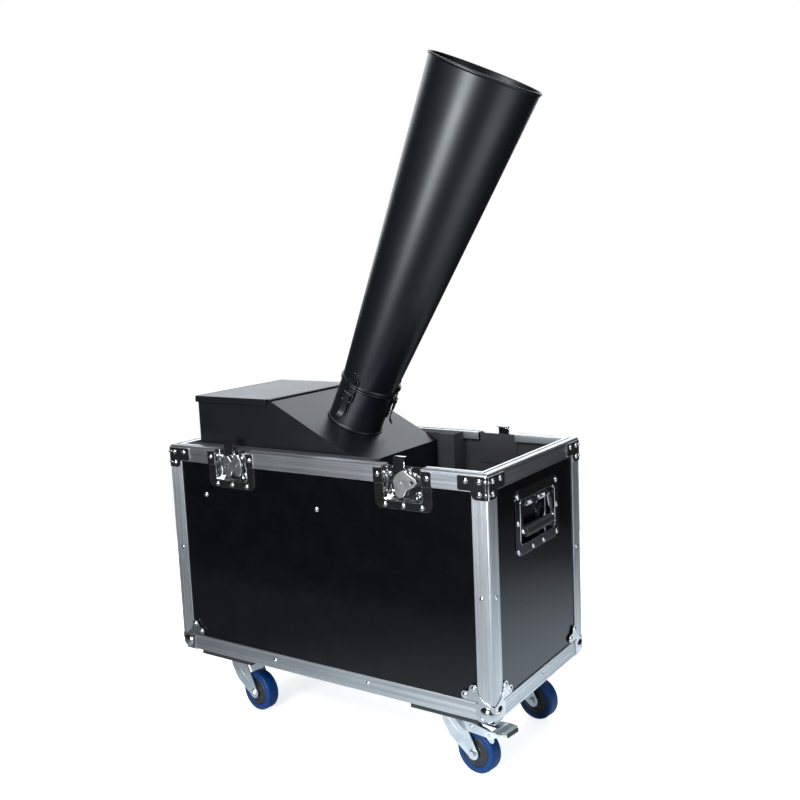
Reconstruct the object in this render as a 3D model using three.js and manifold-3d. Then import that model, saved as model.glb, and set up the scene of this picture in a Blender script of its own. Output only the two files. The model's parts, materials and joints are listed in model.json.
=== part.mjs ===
// A confetti blower in a flight case: a sheet steel hopper with a tapered barrel, standing in an open
// case on four swivel castors. Millimetres, +Z up, +X along the case towards the end that the barrel leans
// to, +Y to the back. It is drawn from the centre of the floor panel's underside, and then moved so that the
// origin lies where the castors stand, under the middle of the whole machine.

import * as THREE from "three";
import { mergeVertices } from "three/addons/utils/BufferGeometryUtils.js";
import Module from "manifold-3d";

const wasm = await Module();
wasm.setup();

// The case: overall size of its body, its plywood and its aluminium edging
const CASE_LENGTH = 693;
const CASE_WIDTH = 342;
const CASE_HEIGHT = 404;
const PANEL = 9;
const EDGING_SHEET = 1.8;
const EDGING_FLANGE = 30;
const EDGING_CORNER_RADIUS = 4;
const RIM_WIDTH = 20;
const RIM_INNER_FLANGE = 14;

// Clearances and cut lengths
const SEAT_GAP = 0.3;
const OVERRUN = 5;

// Corner hardware
const HARDWARE_SHEET = 1.5;
const BRACE_ARM = 52;
const BRACE_BAND = 28;
const BRACE_DROP = 44;
const BRACE_LEG = 30;
const BRACE_FILLET = 6;
const BALL_RADIUS = 20;
const BALL_INSET = 14.5;
const EAR_REACH = 52;
const EAR_STEP_IN = 15.5;
const EAR_STEP_UP = 14.5;
const EAR_LOBE_RADIUS = 8;
const EAR_ROOT = 26;
const EAR_UNDER_REACH = 34;

// Lid latches: four recessed dishes, two in front and two at the back
const LATCH_END_INSET = 157.5;
const LATCH_WIDTH = 112;
const LATCH_DROP = 72;
const LATCH_CORNER_RADIUS = 12;
const LATCH_CAVITY_WIDTH = 74;
const LATCH_CAVITY_DROP = 57;
const LATCH_CAVITY_DEPTH = 12;
const LATCH_AXIS_DROP = 31;
const WING_RADIUS = 25;
const WING_WAIST = 7;
const WING_LOBE = 12;
const WING_SHOULDER_SHARE = 0.55;
const WING_TIP_SHARE = 0.95;
const WING_SHEET = 2;
const WING_HUB_RADIUS = 10;
const WING_SHAFT_RADIUS = 3.4;
const WING_RECESS = 3;
const HOOK_WIDTH = 22;
const HOOK_OFFSET = 12;
const HOOK_SHEET = 1.9;
const HOOK_RISE = 13;
const HOOK_LIP = 7;
const HOOK_TRAVEL = 10;
const HOOK_TAIL = 14;

// Carry handles: a recessed dish in each end
const HANDLE_WIDTH = 162;
const HANDLE_HEIGHT = 111;
const HANDLE_CENTRE_DROP = 102.5;
const HANDLE_CORNER_RADIUS = 16;
const HANDLE_CAVITY_WIDTH = 128;
const HANDLE_CAVITY_HEIGHT = 74;
const HANDLE_CAVITY_DEPTH = 17;
const HANDLE_CAVITY_RADIUS = 8;
const BAIL_ROD_RADIUS = 3.5;
const BAIL_PIVOT_RISE = 25;
const BAIL_PIVOT_DEPTH = 6;
const BAIL_DROP = 44;
const BAIL_LEAN = 7;
const BAIL_ARM_INSET = 7;
const GRIP_RADIUS = 8.5;
const GRIP_END_INSET = 6;

// Castors and their boards
const BOARD_LENGTH = 129;
const BOARD_END_INSET = 38;
const BOARD_FRONT_INSET = 10;
const BOARD_THICKNESS = 12;
const SWIVEL_END_INSET = 104;
const SWIVEL_SIDE_INSET = 60;
const CASTOR_HEIGHT = 106;
const CASTOR_HEADING_DEGREES = -8;
const CASTOR_TRAIL = 43;
const TOP_PLATE_LENGTH = 94;
const TOP_PLATE_WIDTH = 66;
const TOP_PLATE_SHEET = 2.5;
const RACE_RADIUS = 22;
const RACE_HEIGHT = 4.5;
const KINGPIN_RADIUS = 5;
const KINGPIN_HEAD_RADIUS = 8;
const KINGPIN_HEAD = 2.5;
const CROWN_RADIUS = 25;
const CROWN_SHEET = 3;
const FORK_SHEET = 2.5;
const FORK_INNER_HALF = 16.5;
const FORK_EYE_RADIUS = 11;
const LEG_ROOT_SHARE = 0.86;
const LEG_KNEE_SHARE = 0.76;
const LEG_KNEE_DROP_SHARE = 0.68;
const LEG_SHIN_SHARE = 0.16;
const LEG_BROW_SHARE = 0.98;
const EYE_START_SHARE = -0.72;
const EYE_END_SHARE = 0.04;
const WHEEL_RADIUS = 37.5;
const WHEEL_WIDTH = 26;
const WHEEL_HUB_WIDTH = 31;
const WHEEL_HUB_RADIUS = 10;
const WHEEL_WEB_WIDTH = 20;
const WHEEL_RIM_RADIUS = 27;
const TREAD_SHOULDER_SHARE = 0.94;
const AXLE_RADIUS = 4;
const AXLE_HEAD_RADIUS = 7;
const AXLE_HEAD = 4;
const BRAKE_PIN_REACH = 80;
const BRAKE_PIN_DROP = 24.5;
const BRAKE_PIN_RADIUS = 2.5;
const BRAKE_EYE_RADIUS = 7;
const BRAKE_FOOT_DROP = 14;
const PEDAL_REACH = 114;
const PEDAL_START = 91;
const PEDAL_SHEET = 2.5;
const PEDAL_RISE = 8;

// Hopper: a sheet steel tub with a flat lid and a slope that carries the barrel
const HOPPER_SHEET = 2.5;
const HOPPER_END_INSET = 38;
const HOPPER_LENGTH = 383;
const HOPPER_SIDE_INSET = 47;
const HOPPER_ABOVE_RIM = 88;
const BARREL_TILT_DEGREES = 26.9;
const LID_LENGTH = 184;
const LID_SHEET = 2.5;
const LID_OVERHANG = 4;
const LID_LIP = 10;
const LID_LIP_SHEET = 1.5;
const KNUCKLE_RADIUS = 3;
const HINGE_LEDGE = 14;

// Barrel, collar and the toggle latches across their seam
const BARREL_SHEET = 2;
const BARREL_FOOT_RADIUS = 51;
const BARREL_MOUTH_RADIUS = 97.7;
const BARREL_LENGTH = 579.6;
const BARREL_MOUTH_BEAD = 2.5;
const COLLAR_LENGTH = 81;
const COLLAR_FROM_RIDGE = 101.8;
const COLLAR_FOOT_FLANGE = 9;
const SEAM_BEAD = 3;
const SEAM_BEAD_HEIGHT = 3;
const TOGGLE_COUNT = 3;
const TOGGLE_HALF_WIDTH = 8;
const TOGGLE_EAR_SHEET = 1.8;
const TOGGLE_PIVOT_DROP = 14;
const TOGGLE_PIVOT_STAND = 6;
const TOGGLE_EAR_RADIUS = 3.4;
const TOGGLE_PIN_RADIUS = 1.6;
const TOGGLE_BASE_SHEET = 2.2;
const TOGGLE_BASE_LENGTH = 36;
const TOGGLE_CRANK = 14;
const LEVER_HALF_WIDTH = 5.7;
const LEVER_THICKNESS = 5;
const LEVER_LENGTH = 46;
const LEVER_CURL = 7;
const LOOP_WIRE_RADIUS = 1.3;
const LOOP_HALF_WIDTH = 9.8;
const LOOP_OVER_SEAM = 16;
const LOOP_STAND = 3.2;
const KEEPER_HALF_WIDTH = 6.5;
const KEEPER_LENGTH = 9;
const KEEPER_STAND = 6;
const KEEPER_CLEARANCE = 0.7;

// The air jet inside the hopper
const JET_RADIUS = 14;
const JET_SHEET = 2;
const JET_FOOT_PLATE_RADIUS = 36;
const JET_FOOT_PLATE = 3;
const JET_BEND_RISE = 64.8;
const JET_BEND = 34;
const JET_INTO_COLLAR = 30;

// Linings beside the hopper
const LINING_PAST_HOPPER = 42;
const LINING_POST_LENGTH = 32;
const LINING_POST_DEPTH = 7.5;
const LINING_TOP_DROP = 1.5;

// Levels and half sizes that follow from the sizes above
const HALF_LENGTH = CASE_LENGTH / 2;
const HALF_WIDTH = CASE_WIDTH / 2;
const CASE_BASE = -(EDGING_SHEET + SEAT_GAP);
const RIM_TOP = CASE_BASE + CASE_HEIGHT;
const PANEL_HALF_LENGTH = HALF_LENGTH - EDGING_SHEET - SEAT_GAP;
const PANEL_HALF_WIDTH = HALF_WIDTH - EDGING_SHEET - SEAT_GAP;
const WALL_BASE = PANEL + SEAT_GAP;
const WALL_TOP = RIM_TOP - EDGING_SHEET - SEAT_GAP;
const LATCH_X = HALF_LENGTH - LATCH_END_INSET;
const LATCH_AXIS = RIM_TOP - LATCH_AXIS_DROP;
const HANDLE_CENTRE = RIM_TOP - HANDLE_CENTRE_DROP;
const BAIL_HALF_SPAN = HANDLE_CAVITY_WIDTH / 2 - BAIL_ARM_INSET;
const GRIP_HALF_LENGTH = BAIL_HALF_SPAN - GRIP_END_INSET;
const INSIDE_HALF_LENGTH = PANEL_HALF_LENGTH - PANEL - SEAT_GAP;
const INSIDE_HALF_WIDTH = PANEL_HALF_WIDTH - PANEL - SEAT_GAP;
const BOARD_UNDERSIDE = CASE_BASE - SEAT_GAP - BOARD_THICKNESS;
const FLOOR_LEVEL = BOARD_UNDERSIDE - CASTOR_HEIGHT;
const AXLE_LEVEL = FLOOR_LEVEL + WHEEL_RADIUS;
const HOPPER_LEFT = -HALF_LENGTH + HOPPER_END_INSET;
const HOPPER_RIGHT = HOPPER_LEFT + HOPPER_LENGTH;
const HOPPER_HALF_WIDTH = HALF_WIDTH - HOPPER_SIDE_INSET;
const LID_LEFT = HOPPER_LEFT - LID_OVERHANG;
const RIDGE_X = LID_LEFT + LID_LENGTH;
const HOPPER_TOP = RIM_TOP + HOPPER_ABOVE_RIM;
const TUB_TOP = HOPPER_TOP - LID_SHEET - SEAT_GAP;
const CASTOR_HEADING = THREE.MathUtils.degToRad(CASTOR_HEADING_DEGREES);
const BARREL_TILT = THREE.MathUtils.degToRad(BARREL_TILT_DEGREES);
const BARREL_AXIS = new THREE.Vector3(Math.sin(BARREL_TILT), 0, Math.cos(BARREL_TILT));
const COLLAR_FOOT = new THREE.Vector3(
  RIDGE_X + COLLAR_FROM_RIDGE,
  0,
  HOPPER_TOP - COLLAR_FROM_RIDGE * Math.tan(BARREL_TILT),
);

// Counts: sides of round pieces, points on a round corner, and rings along the bent pipe
const FINE_SIDES = 44;
const ROUND_SIDES = 20;
const SMALL_SIDES = 12;
const WIRE_SIDES = 6;
const NUT_SIDES = 6;
const CORNER_STEPS = 4;
const PIPE_STEPS = 6;
const JET_RINGS = 14;

// One material for each finish
const finish = (color, roughness, metalness) => new THREE.MeshStandardMaterial({ color, roughness, metalness });
const BLACK_LAMINATE = finish(0x141517, 0.35, 0.0);
const ALUMINIUM = finish(0xbfc3c6, 0.38, 1.0);
const CHROME = finish(0xd8dadc, 0.12, 1.0);
const ZINC = finish(0xb4c0c4, 0.35, 1.0);
const BLACK_STEEL = finish(0x17191c, 0.45, 0.3);
const DARK_LINING = finish(0x2a2a2b, 0.9, 0.0);
const BLACK_BOARD = finish(0x101112, 0.6, 0.0);
const BLUE_TREAD = finish(0x0d4fa0, 0.5, 0.0);
const PEDAL_STEEL = finish(0x6d7678, 0.45, 0.8);
const BLACK_GRIP = finish(0x0d0d0e, 0.6, 0.0);

// A closed geometry becomes a solid once its shared corners are merged
function solid(geometry) {
  const bare = geometry.clone();
  bare.deleteAttribute("normal");
  bare.deleteAttribute("uv");
  const merged = mergeVertices(bare, 1e-4);
  const index = merged.index.array;
  const kept = [];
  for (let i = 0; i < index.length; i += 3) {
    const [a, b, c] = [index[i], index[i + 1], index[i + 2]];
    if (a !== b && b !== c && c !== a) kept.push(a, b, c);
  }
  const vertProperties = new Float32Array(merged.attributes.position.array);
  return new wasm.Manifold(new wasm.Mesh({ numProp: 3, vertProperties, triVerts: new Uint32Array(kept) }));
}

function join(...solids) {
  return solids.reduce((whole, piece) => whole.add(piece));
}

function cut(body, ...tools) {
  return tools.reduce((whole, tool) => whole.subtract(tool), body);
}

function block(x0, x1, y0, y1, z0, z1) {
  const box = new THREE.BoxGeometry(x1 - x0, y1 - y0, z1 - z0);
  return solid(box.translate((x0 + x1) / 2, (y0 + y1) / 2, (z0 + z1) / 2));
}

// A round bar between two points
function rod(radius, from, to, sides = SMALL_SIDES) {
  const along = to.clone().sub(from);
  const bar = new THREE.CylinderGeometry(radius, radius, along.length(), sides);
  const upward = new THREE.Vector3(0, 1, 0);
  bar.applyQuaternion(new THREE.Quaternion().setFromUnitVectors(upward, along.clone().normalize()));
  const middle = from.clone().add(to).multiplyScalar(1 / 2);
  return solid(bar.translate(middle.x, middle.y, middle.z));
}

const point = (x, y, z) => new THREE.Vector3(x, y, z);

// A turned piece about the Z axis from pairs of radius and height
function turned(profile, sides = ROUND_SIDES) {
  const lathe = new THREE.LatheGeometry(profile.map(([r, z]) => new THREE.Vector2(r, z)), sides);
  return solid(lathe.rotateX(Math.PI / 2));
}

// A ring or tube about the Z axis
function ring(inner, outer, z0, z1) {
  return turned([[inner, z0], [outer, z0], [outer, z1], [inner, z1], [inner, z0]]);
}

function extruded(shape, depth) {
  return new THREE.ExtrudeGeometry(shape, { depth, bevelEnabled: false, curveSegments: CORNER_STEPS });
}

// A sheet lying in X and Z, filling y0 to y1; the outline's second number is the height
function sheetXZ(shape, y0, y1) {
  return solid(extruded(shape, y1 - y0).rotateX(Math.PI / 2).translate(0, y1, 0));
}

// A sheet lying in Y and Z, filling x0 to x1; the outline's first number is the place along Y
function sheetYZ(shape, x0, x1) {
  const geometry = extruded(shape, x1 - x0);
  geometry.rotateX(Math.PI / 2).rotateZ(Math.PI / 2);
  return solid(geometry.translate(x0, 0, 0));
}

function polygon(points) {
  return new THREE.Shape(points.map(([u, v]) => new THREE.Vector2(u, v)));
}

function disc(u, v, radius) {
  const shape = new THREE.Shape();
  shape.absarc(u, v, radius, 0, 2 * Math.PI);
  return shape;
}

// A rectangle with round corners; the flat top keeps its corners square when asked
function roundedRectangle(u0, u1, v0, v1, radius, squareTop = false) {
  const shape = new THREE.Shape();
  const top = squareTop ? 0 : radius;
  shape.moveTo(u0, v0 + radius);
  shape.absarc(u0 + radius, v0 + radius, radius, Math.PI, 1.5 * Math.PI);
  shape.absarc(u1 - radius, v0 + radius, radius, 1.5 * Math.PI, 2 * Math.PI);
  if (top > 0) {
    shape.absarc(u1 - top, v1 - top, top, 0, Math.PI / 2);
    shape.absarc(u0 + top, v1 - top, top, Math.PI / 2, Math.PI);
  } else {
    shape.lineTo(u1, v1);
    shape.lineTo(u0, v1);
  }
  return shape;
}

const blower = new THREE.Group();

function addPart(name, body, material, parent = blower) {
  const mesh = body.getMesh();
  const geometry = new THREE.BufferGeometry();
  geometry.setAttribute("position", new THREE.BufferAttribute(new Float32Array(mesh.vertProperties), 3));
  geometry.setIndex(new THREE.BufferAttribute(new Uint32Array(mesh.triVerts), 1));
  geometry.computeVertexNormals();
  const part = new THREE.Mesh(geometry, material);
  part.name = name;
  parent.add(part);
  return part;
}

// A group whose own origin is a place on the object, turned about the upright axis
function placedGroup(x, y, turn) {
  const group = new THREE.Group();
  group.position.set(x, y, 0);
  group.rotation.z = turn;
  blower.add(group);
  return group;
}

// The four corners of the case, each named by its end and side, with the turn that brings
// a piece drawn for the right back corner to it
const CORNERS = [
  { name: "back_right", end: 1, side: 1, turn: 0 },
  { name: "back_left", end: -1, side: 1, turn: Math.PI / 2 },
  { name: "front_left", end: -1, side: -1, turn: Math.PI },
  { name: "front_right", end: 1, side: -1, turn: -Math.PI / 2 },
];

// Two latches on each long side; the group is turned so that -Y faces out of the case
const LATCHES = [
  { name: "front_left", x: -LATCH_X, side: -1, wingTurn: Math.PI / 4 },
  { name: "front_right", x: LATCH_X, side: -1, wingTurn: 0 },
  { name: "back_left", x: -LATCH_X, side: 1, wingTurn: 0 },
  { name: "back_right", x: LATCH_X, side: 1, wingTurn: 0 },
];

// Room that a latch dish takes out of the case wall, drawn for a latch at the front
const LATCH_BOX_HALF = LATCH_CAVITY_WIDTH / 2 + HARDWARE_SHEET;
const LATCH_BOX_BACK = -HALF_WIDTH + LATCH_CAVITY_DEPTH + HARDWARE_SHEET;
const LATCH_BOX_BOTTOM = RIM_TOP - LATCH_CAVITY_DROP - HARDWARE_SHEET;

function latchRoom(latch) {
  const outer = HALF_WIDTH + OVERRUN;
  const inner = -LATCH_BOX_BACK - SEAT_GAP;
  const [y0, y1] = latch.side < 0 ? [-outer, -inner] : [inner, outer];
  const half = LATCH_BOX_HALF + SEAT_GAP;
  return block(latch.x - half, latch.x + half, y0, y1, LATCH_BOX_BOTTOM - SEAT_GAP, RIM_TOP + OVERRUN);
}

// Plywood panels
function addPanels() {
  addPart(
    "floor_panel",
    block(-PANEL_HALF_LENGTH, PANEL_HALF_LENGTH, -PANEL_HALF_WIDTH, PANEL_HALF_WIDTH, 0, PANEL),
    BLACK_LAMINATE,
  );
  for (const [name, side] of [["front_panel", -1], ["back_panel", 1]]) {
    const faces = [side * PANEL_HALF_WIDTH, side * (PANEL_HALF_WIDTH - PANEL)].sort((a, b) => a - b);
    const wall = block(-PANEL_HALF_LENGTH, PANEL_HALF_LENGTH, faces[0], faces[1], WALL_BASE, WALL_TOP);
    const rooms = LATCHES.filter((latch) => latch.side === side).map(latchRoom);
    addPart(name, cut(wall, ...rooms), BLACK_LAMINATE);
  }
  const half = PANEL_HALF_WIDTH - PANEL - SEAT_GAP;
  for (const [name, end] of [["left_end_panel", -1], ["right_end_panel", 1]]) {
    const faces = [end * PANEL_HALF_LENGTH, end * (PANEL_HALF_LENGTH - PANEL)].sort((a, b) => a - b);
    const wall = block(faces[0], faces[1], -half, half, WALL_BASE, WALL_TOP);
    const room = HARDWARE_SHEET + SEAT_GAP;
    const hole = roundedRectangle(
      -HANDLE_CAVITY_WIDTH / 2 - room,
      HANDLE_CAVITY_WIDTH / 2 + room,
      HANDLE_CENTRE - HANDLE_CAVITY_HEIGHT / 2 - room,
      HANDLE_CENTRE + HANDLE_CAVITY_HEIGHT / 2 + room,
      HANDLE_CAVITY_RADIUS + room,
    );
    addPart(name, cut(wall, sheetYZ(hole, faces[0] - OVERRUN, faces[1] + OVERRUN)), BLACK_LAMINATE);
  }
}

// A rectangular ring in plan
function frameRing(halfLength, halfWidth, thickness, z0, z1) {
  const outer = block(-halfLength, halfLength, -halfWidth, halfWidth, z0, z1);
  const inLength = halfLength - thickness;
  const inWidth = halfWidth - thickness;
  return cut(outer, block(-inLength, inLength, -inWidth, inWidth, z0 - OVERRUN, z1 + OVERRUN));
}

// Aluminium edging: the rim folded over the top of the walls, the angle round the floor, four upright angles
function addEdging() {
  const rim = join(
    frameRing(HALF_LENGTH, HALF_WIDTH, EDGING_SHEET, RIM_TOP - EDGING_FLANGE, RIM_TOP),
    frameRing(HALF_LENGTH, HALF_WIDTH, RIM_WIDTH, RIM_TOP - EDGING_SHEET, RIM_TOP),
    frameRing(
      HALF_LENGTH - RIM_WIDTH + EDGING_SHEET,
      HALF_WIDTH - RIM_WIDTH + EDGING_SHEET,
      EDGING_SHEET,
      RIM_TOP - RIM_INNER_FLANGE,
      RIM_TOP,
    ),
  );
  addPart("top_rim_frame", cut(rim, ...LATCHES.map(latchRoom)), ALUMINIUM);

  const foot = join(
    frameRing(HALF_LENGTH, HALF_WIDTH, EDGING_SHEET, CASE_BASE, CASE_BASE + EDGING_FLANGE),
    frameRing(HALF_LENGTH, HALF_WIDTH, EDGING_FLANGE, CASE_BASE, CASE_BASE + EDGING_SHEET),
  );
  addPart("bottom_edge_frame", foot, ALUMINIUM);

  for (const corner of CORNERS) {
    const angle = new THREE.Shape();
    const inner = -EDGING_SHEET;
    angle.moveTo(-EDGING_FLANGE, 0);
    angle.lineTo(-EDGING_FLANGE, inner);
    angle.lineTo(inner, inner);
    angle.lineTo(inner, -EDGING_FLANGE);
    angle.lineTo(0, -EDGING_FLANGE);
    angle.absarc(-EDGING_CORNER_RADIUS, -EDGING_CORNER_RADIUS, EDGING_CORNER_RADIUS, 0, Math.PI / 2);
    const bottom = CASE_BASE + EDGING_FLANGE + SEAT_GAP;
    const top = RIM_TOP - EDGING_FLANGE - SEAT_GAP;
    const upright = solid(extruded(angle, top - bottom).translate(0, 0, bottom));
    const group = placedGroup(corner.end * HALF_LENGTH, corner.side * HALF_WIDTH, corner.turn);
    addPart(`corner_angle_${corner.name}`, upright, ALUMINIUM, group);
  }
}

// Both faces of a corner get the same sheet: once in Y and Z, once in X and Z, joined round the edge
function cornerSheets(shape, z0, z1) {
  const near = SEAT_GAP;
  const far = SEAT_GAP + HARDWARE_SHEET;
  const onEnd = sheetYZ(shape, near, far);
  const onSide = sheetXZ(shape, near, far);
  return join(onEnd, onSide, block(0, far, 0, far, z0, z1));
}

// Top braces: a riveted angle plate at each top corner, its band along the rim and a leg down the edge
function addBraces() {
  const top = RIM_TOP - SEAT_GAP;
  const outline = new THREE.Shape();
  outline.moveTo(SEAT_GAP, top);
  outline.lineTo(-BRACE_ARM, top);
  outline.lineTo(-BRACE_ARM, top - BRACE_BAND + BRACE_FILLET);
  outline.lineTo(-BRACE_ARM + BRACE_FILLET, top - BRACE_BAND);
  outline.lineTo(-BRACE_LEG, top - BRACE_BAND);
  outline.lineTo(-BRACE_LEG, top - BRACE_DROP + BRACE_FILLET);
  outline.lineTo(-BRACE_LEG + BRACE_FILLET, top - BRACE_DROP);
  outline.lineTo(SEAT_GAP, top - BRACE_DROP);
  for (const corner of CORNERS) {
    const group = placedGroup(corner.end * HALF_LENGTH, corner.side * HALF_WIDTH, corner.turn);
    const sheets = cornerSheets(outline, top - BRACE_DROP, top);
    const clear = block(-HALF_LENGTH, SEAT_GAP, -HALF_WIDTH, SEAT_GAP, CASE_BASE, RIM_TOP + OVERRUN);
    addPart(`corner_brace_${corner.name}`, cut(sheets, clear), CHROME, group);
  }
}

// Ball corners: a pressed ball over each bottom corner with a lobed ear on each face
function addBallCorners() {
  const drop = CASE_BASE - SEAT_GAP - HARDWARE_SHEET;
  const railTop = CASE_BASE + EDGING_FLANGE;
  const lowX = -EAR_REACH;
  const lowZ = railTop + EAR_LOBE_RADIUS;
  const highX = lowX + EAR_STEP_IN;
  const highZ = lowZ + EAR_STEP_UP;
  const root = polygon([
    [SEAT_GAP, drop],
    [-EAR_ROOT, drop],
    [-EAR_ROOT, railTop],
    [lowX, railTop],
    [lowX, lowZ],
    [highX, highZ],
    [highX + EAR_LOBE_RADIUS, highZ],
    [SEAT_GAP, CASE_BASE + EAR_ROOT],
  ]);
  const lobes = [disc(lowX, lowZ, EAR_LOBE_RADIUS), disc(highX, highZ, EAR_LOBE_RADIUS)];
  const near = SEAT_GAP;
  const far = SEAT_GAP + HARDWARE_SHEET;
  const under = polygon([
    [far, far],
    [-EAR_UNDER_REACH, far],
    [-EAR_UNDER_REACH, -EAR_ROOT / 2],
    [-EAR_ROOT / 2, -EAR_UNDER_REACH],
    [far, -EAR_UNDER_REACH],
  ]);
  const underSheet = solid(extruded(under, HARDWARE_SHEET).translate(0, 0, drop));
  const clear = block(-HALF_LENGTH, near, -HALF_WIDTH, near, CASE_BASE - SEAT_GAP, RIM_TOP);
  const sphere = new THREE.SphereGeometry(BALL_RADIUS, SMALL_SIDES, SMALL_SIDES);
  const ball = solid(sphere.translate(-BALL_INSET, -BALL_INSET, CASE_BASE + BALL_INSET));
  for (const corner of CORNERS) {
    const group = placedGroup(corner.end * HALF_LENGTH, corner.side * HALF_WIDTH, corner.turn);
    const ears = [root, ...lobes].flatMap((shape) => [sheetYZ(shape, near, far), sheetXZ(shape, near, far)]);
    const wrap = block(0, far, 0, far, drop, CASE_BASE + EAR_ROOT);
    addPart(`ball_corner_${corner.name}`, cut(join(ball, ...ears, wrap, underSheet), clear), CHROME, group);
  }
}

// Grey lining beside the hopper; the back one ends in a post
function addLinings() {
  const left = -INSIDE_HALF_LENGTH;
  const right = HOPPER_RIGHT + LINING_PAST_HOPPER;
  const outer = INSIDE_HALF_WIDTH;
  const inner = HOPPER_HALF_WIDTH + SEAT_GAP;
  const top = RIM_TOP - LINING_TOP_DROP;
  const rimInner = HALF_WIDTH - RIM_WIDTH - SEAT_GAP;
  const underRim = RIM_TOP - RIM_INNER_FLANGE - SEAT_GAP;
  const rooms = LATCHES.map(latchRoom);
  const frontWall = block(left, right, -outer, -inner, WALL_BASE, underRim);
  const endClear = -HALF_LENGTH + RIM_WIDTH + SEAT_GAP;
  const frontTop = block(endClear, right, -rimInner, -inner, underRim - OVERRUN, top);
  const handleRoom = block(
    left - OVERRUN,
    -PANEL_HALF_LENGTH + HANDLE_CAVITY_DEPTH + HARDWARE_SHEET + OVERRUN,
    -HANDLE_CAVITY_WIDTH / 2 - OVERRUN,
    HANDLE_CAVITY_WIDTH / 2 + OVERRUN,
    HANDLE_CENTRE - HANDLE_CAVITY_HEIGHT / 2 - OVERRUN,
    HANDLE_CENTRE + HANDLE_CAVITY_HEIGHT / 2 + OVERRUN,
  );
  addPart("front_lining", cut(join(frontWall, frontTop), ...rooms, handleRoom), DARK_LINING);
  const backWall = block(left, right, inner, outer, WALL_BASE, underRim);
  const backTop = block(endClear, right, inner, rimInner, underRim - OVERRUN, top);
  const post = block(right - LINING_POST_LENGTH, right, inner - LINING_POST_DEPTH, outer, WALL_BASE, underRim);
  const postTop = block(
    right - LINING_POST_LENGTH,
    right,
    inner - LINING_POST_DEPTH,
    rimInner,
    underRim - OVERRUN,
    top,
  );
  addPart("back_lining", cut(join(backWall, backTop, post, postTop), ...rooms, handleRoom), DARK_LINING);
}

// A castor board under each end, with the two top plates, bearing races and kingpins
function addCastorBoards() {
  for (const [name, end] of [["castor_board_left", -1], ["castor_board_right", 1]]) {
    const xs = [end * (HALF_LENGTH - BOARD_END_INSET), end * (HALF_LENGTH - BOARD_END_INSET - BOARD_LENGTH)];
    xs.sort((a, b) => a - b);
    const half = HALF_WIDTH - BOARD_FRONT_INSET;
    const board = block(xs[0], xs[1], -half, half, BOARD_UNDERSIDE, BOARD_UNDERSIDE + BOARD_THICKNESS);
    const fittings = [-1, 1].map((side) => {
      const x = end * (HALF_LENGTH - SWIVEL_END_INSET);
      const y = side * (HALF_WIDTH - SWIVEL_SIDE_INSET);
      return castorHead(x, y);
    });
    addPart(name, join(board, ...fittings), BLACK_BOARD);
  }
}

const RACE_UNDERSIDE = BOARD_UNDERSIDE - TOP_PLATE_SHEET - RACE_HEIGHT;
const CROWN_TOP = RACE_UNDERSIDE - SEAT_GAP;
const CROWN_UNDERSIDE = CROWN_TOP - CROWN_SHEET;

function castorHead(x, y) {
  const plate = block(
    x - TOP_PLATE_LENGTH / 2,
    x + TOP_PLATE_LENGTH / 2,
    y - TOP_PLATE_WIDTH / 2,
    y + TOP_PLATE_WIDTH / 2,
    BOARD_UNDERSIDE - TOP_PLATE_SHEET,
    BOARD_UNDERSIDE + TOP_PLATE_SHEET,
  );
  const headTop = CROWN_UNDERSIDE - SEAT_GAP;
  const stack = turned([
    [0, headTop - KINGPIN_HEAD],
    [KINGPIN_HEAD_RADIUS, headTop - KINGPIN_HEAD],
    [KINGPIN_HEAD_RADIUS, headTop],
    [KINGPIN_RADIUS, headTop],
    [KINGPIN_RADIUS, RACE_UNDERSIDE],
    [RACE_RADIUS, RACE_UNDERSIDE],
    [RACE_RADIUS, BOARD_UNDERSIDE],
    [0, BOARD_UNDERSIDE],
  ], SMALL_SIDES);
  return join(plate, stack.translate([x, y, 0]));
}

// The leg of a fork, seen from its side: from the crown back and down to the axle
function forkLeg() {
  const top = CROWN_UNDERSIDE + CROWN_SHEET / 2;
  const leg = new THREE.Shape();
  const eyeStart = Math.PI * EYE_START_SHARE;
  const eyeEnd = Math.PI * EYE_END_SHARE;
  leg.moveTo(-CROWN_RADIUS * LEG_ROOT_SHARE, top);
  leg.lineTo(-CROWN_RADIUS * LEG_KNEE_SHARE, top - CROWN_RADIUS * LEG_KNEE_DROP_SHARE);
  leg.lineTo(-CROWN_RADIUS * LEG_SHIN_SHARE, (top + AXLE_LEVEL) / 2 - FORK_EYE_RADIUS);
  leg.absarc(CASTOR_TRAIL, AXLE_LEVEL, FORK_EYE_RADIUS, eyeStart, eyeEnd);
  leg.lineTo(CROWN_RADIUS * LEG_BROW_SHARE, top - CROWN_SHEET);
  leg.lineTo(CROWN_RADIUS * LEG_ROOT_SHARE, top);
  return leg;
}

const BRAKE_PIN_LEVEL = BOARD_UNDERSIDE - BRAKE_PIN_DROP;

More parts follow.
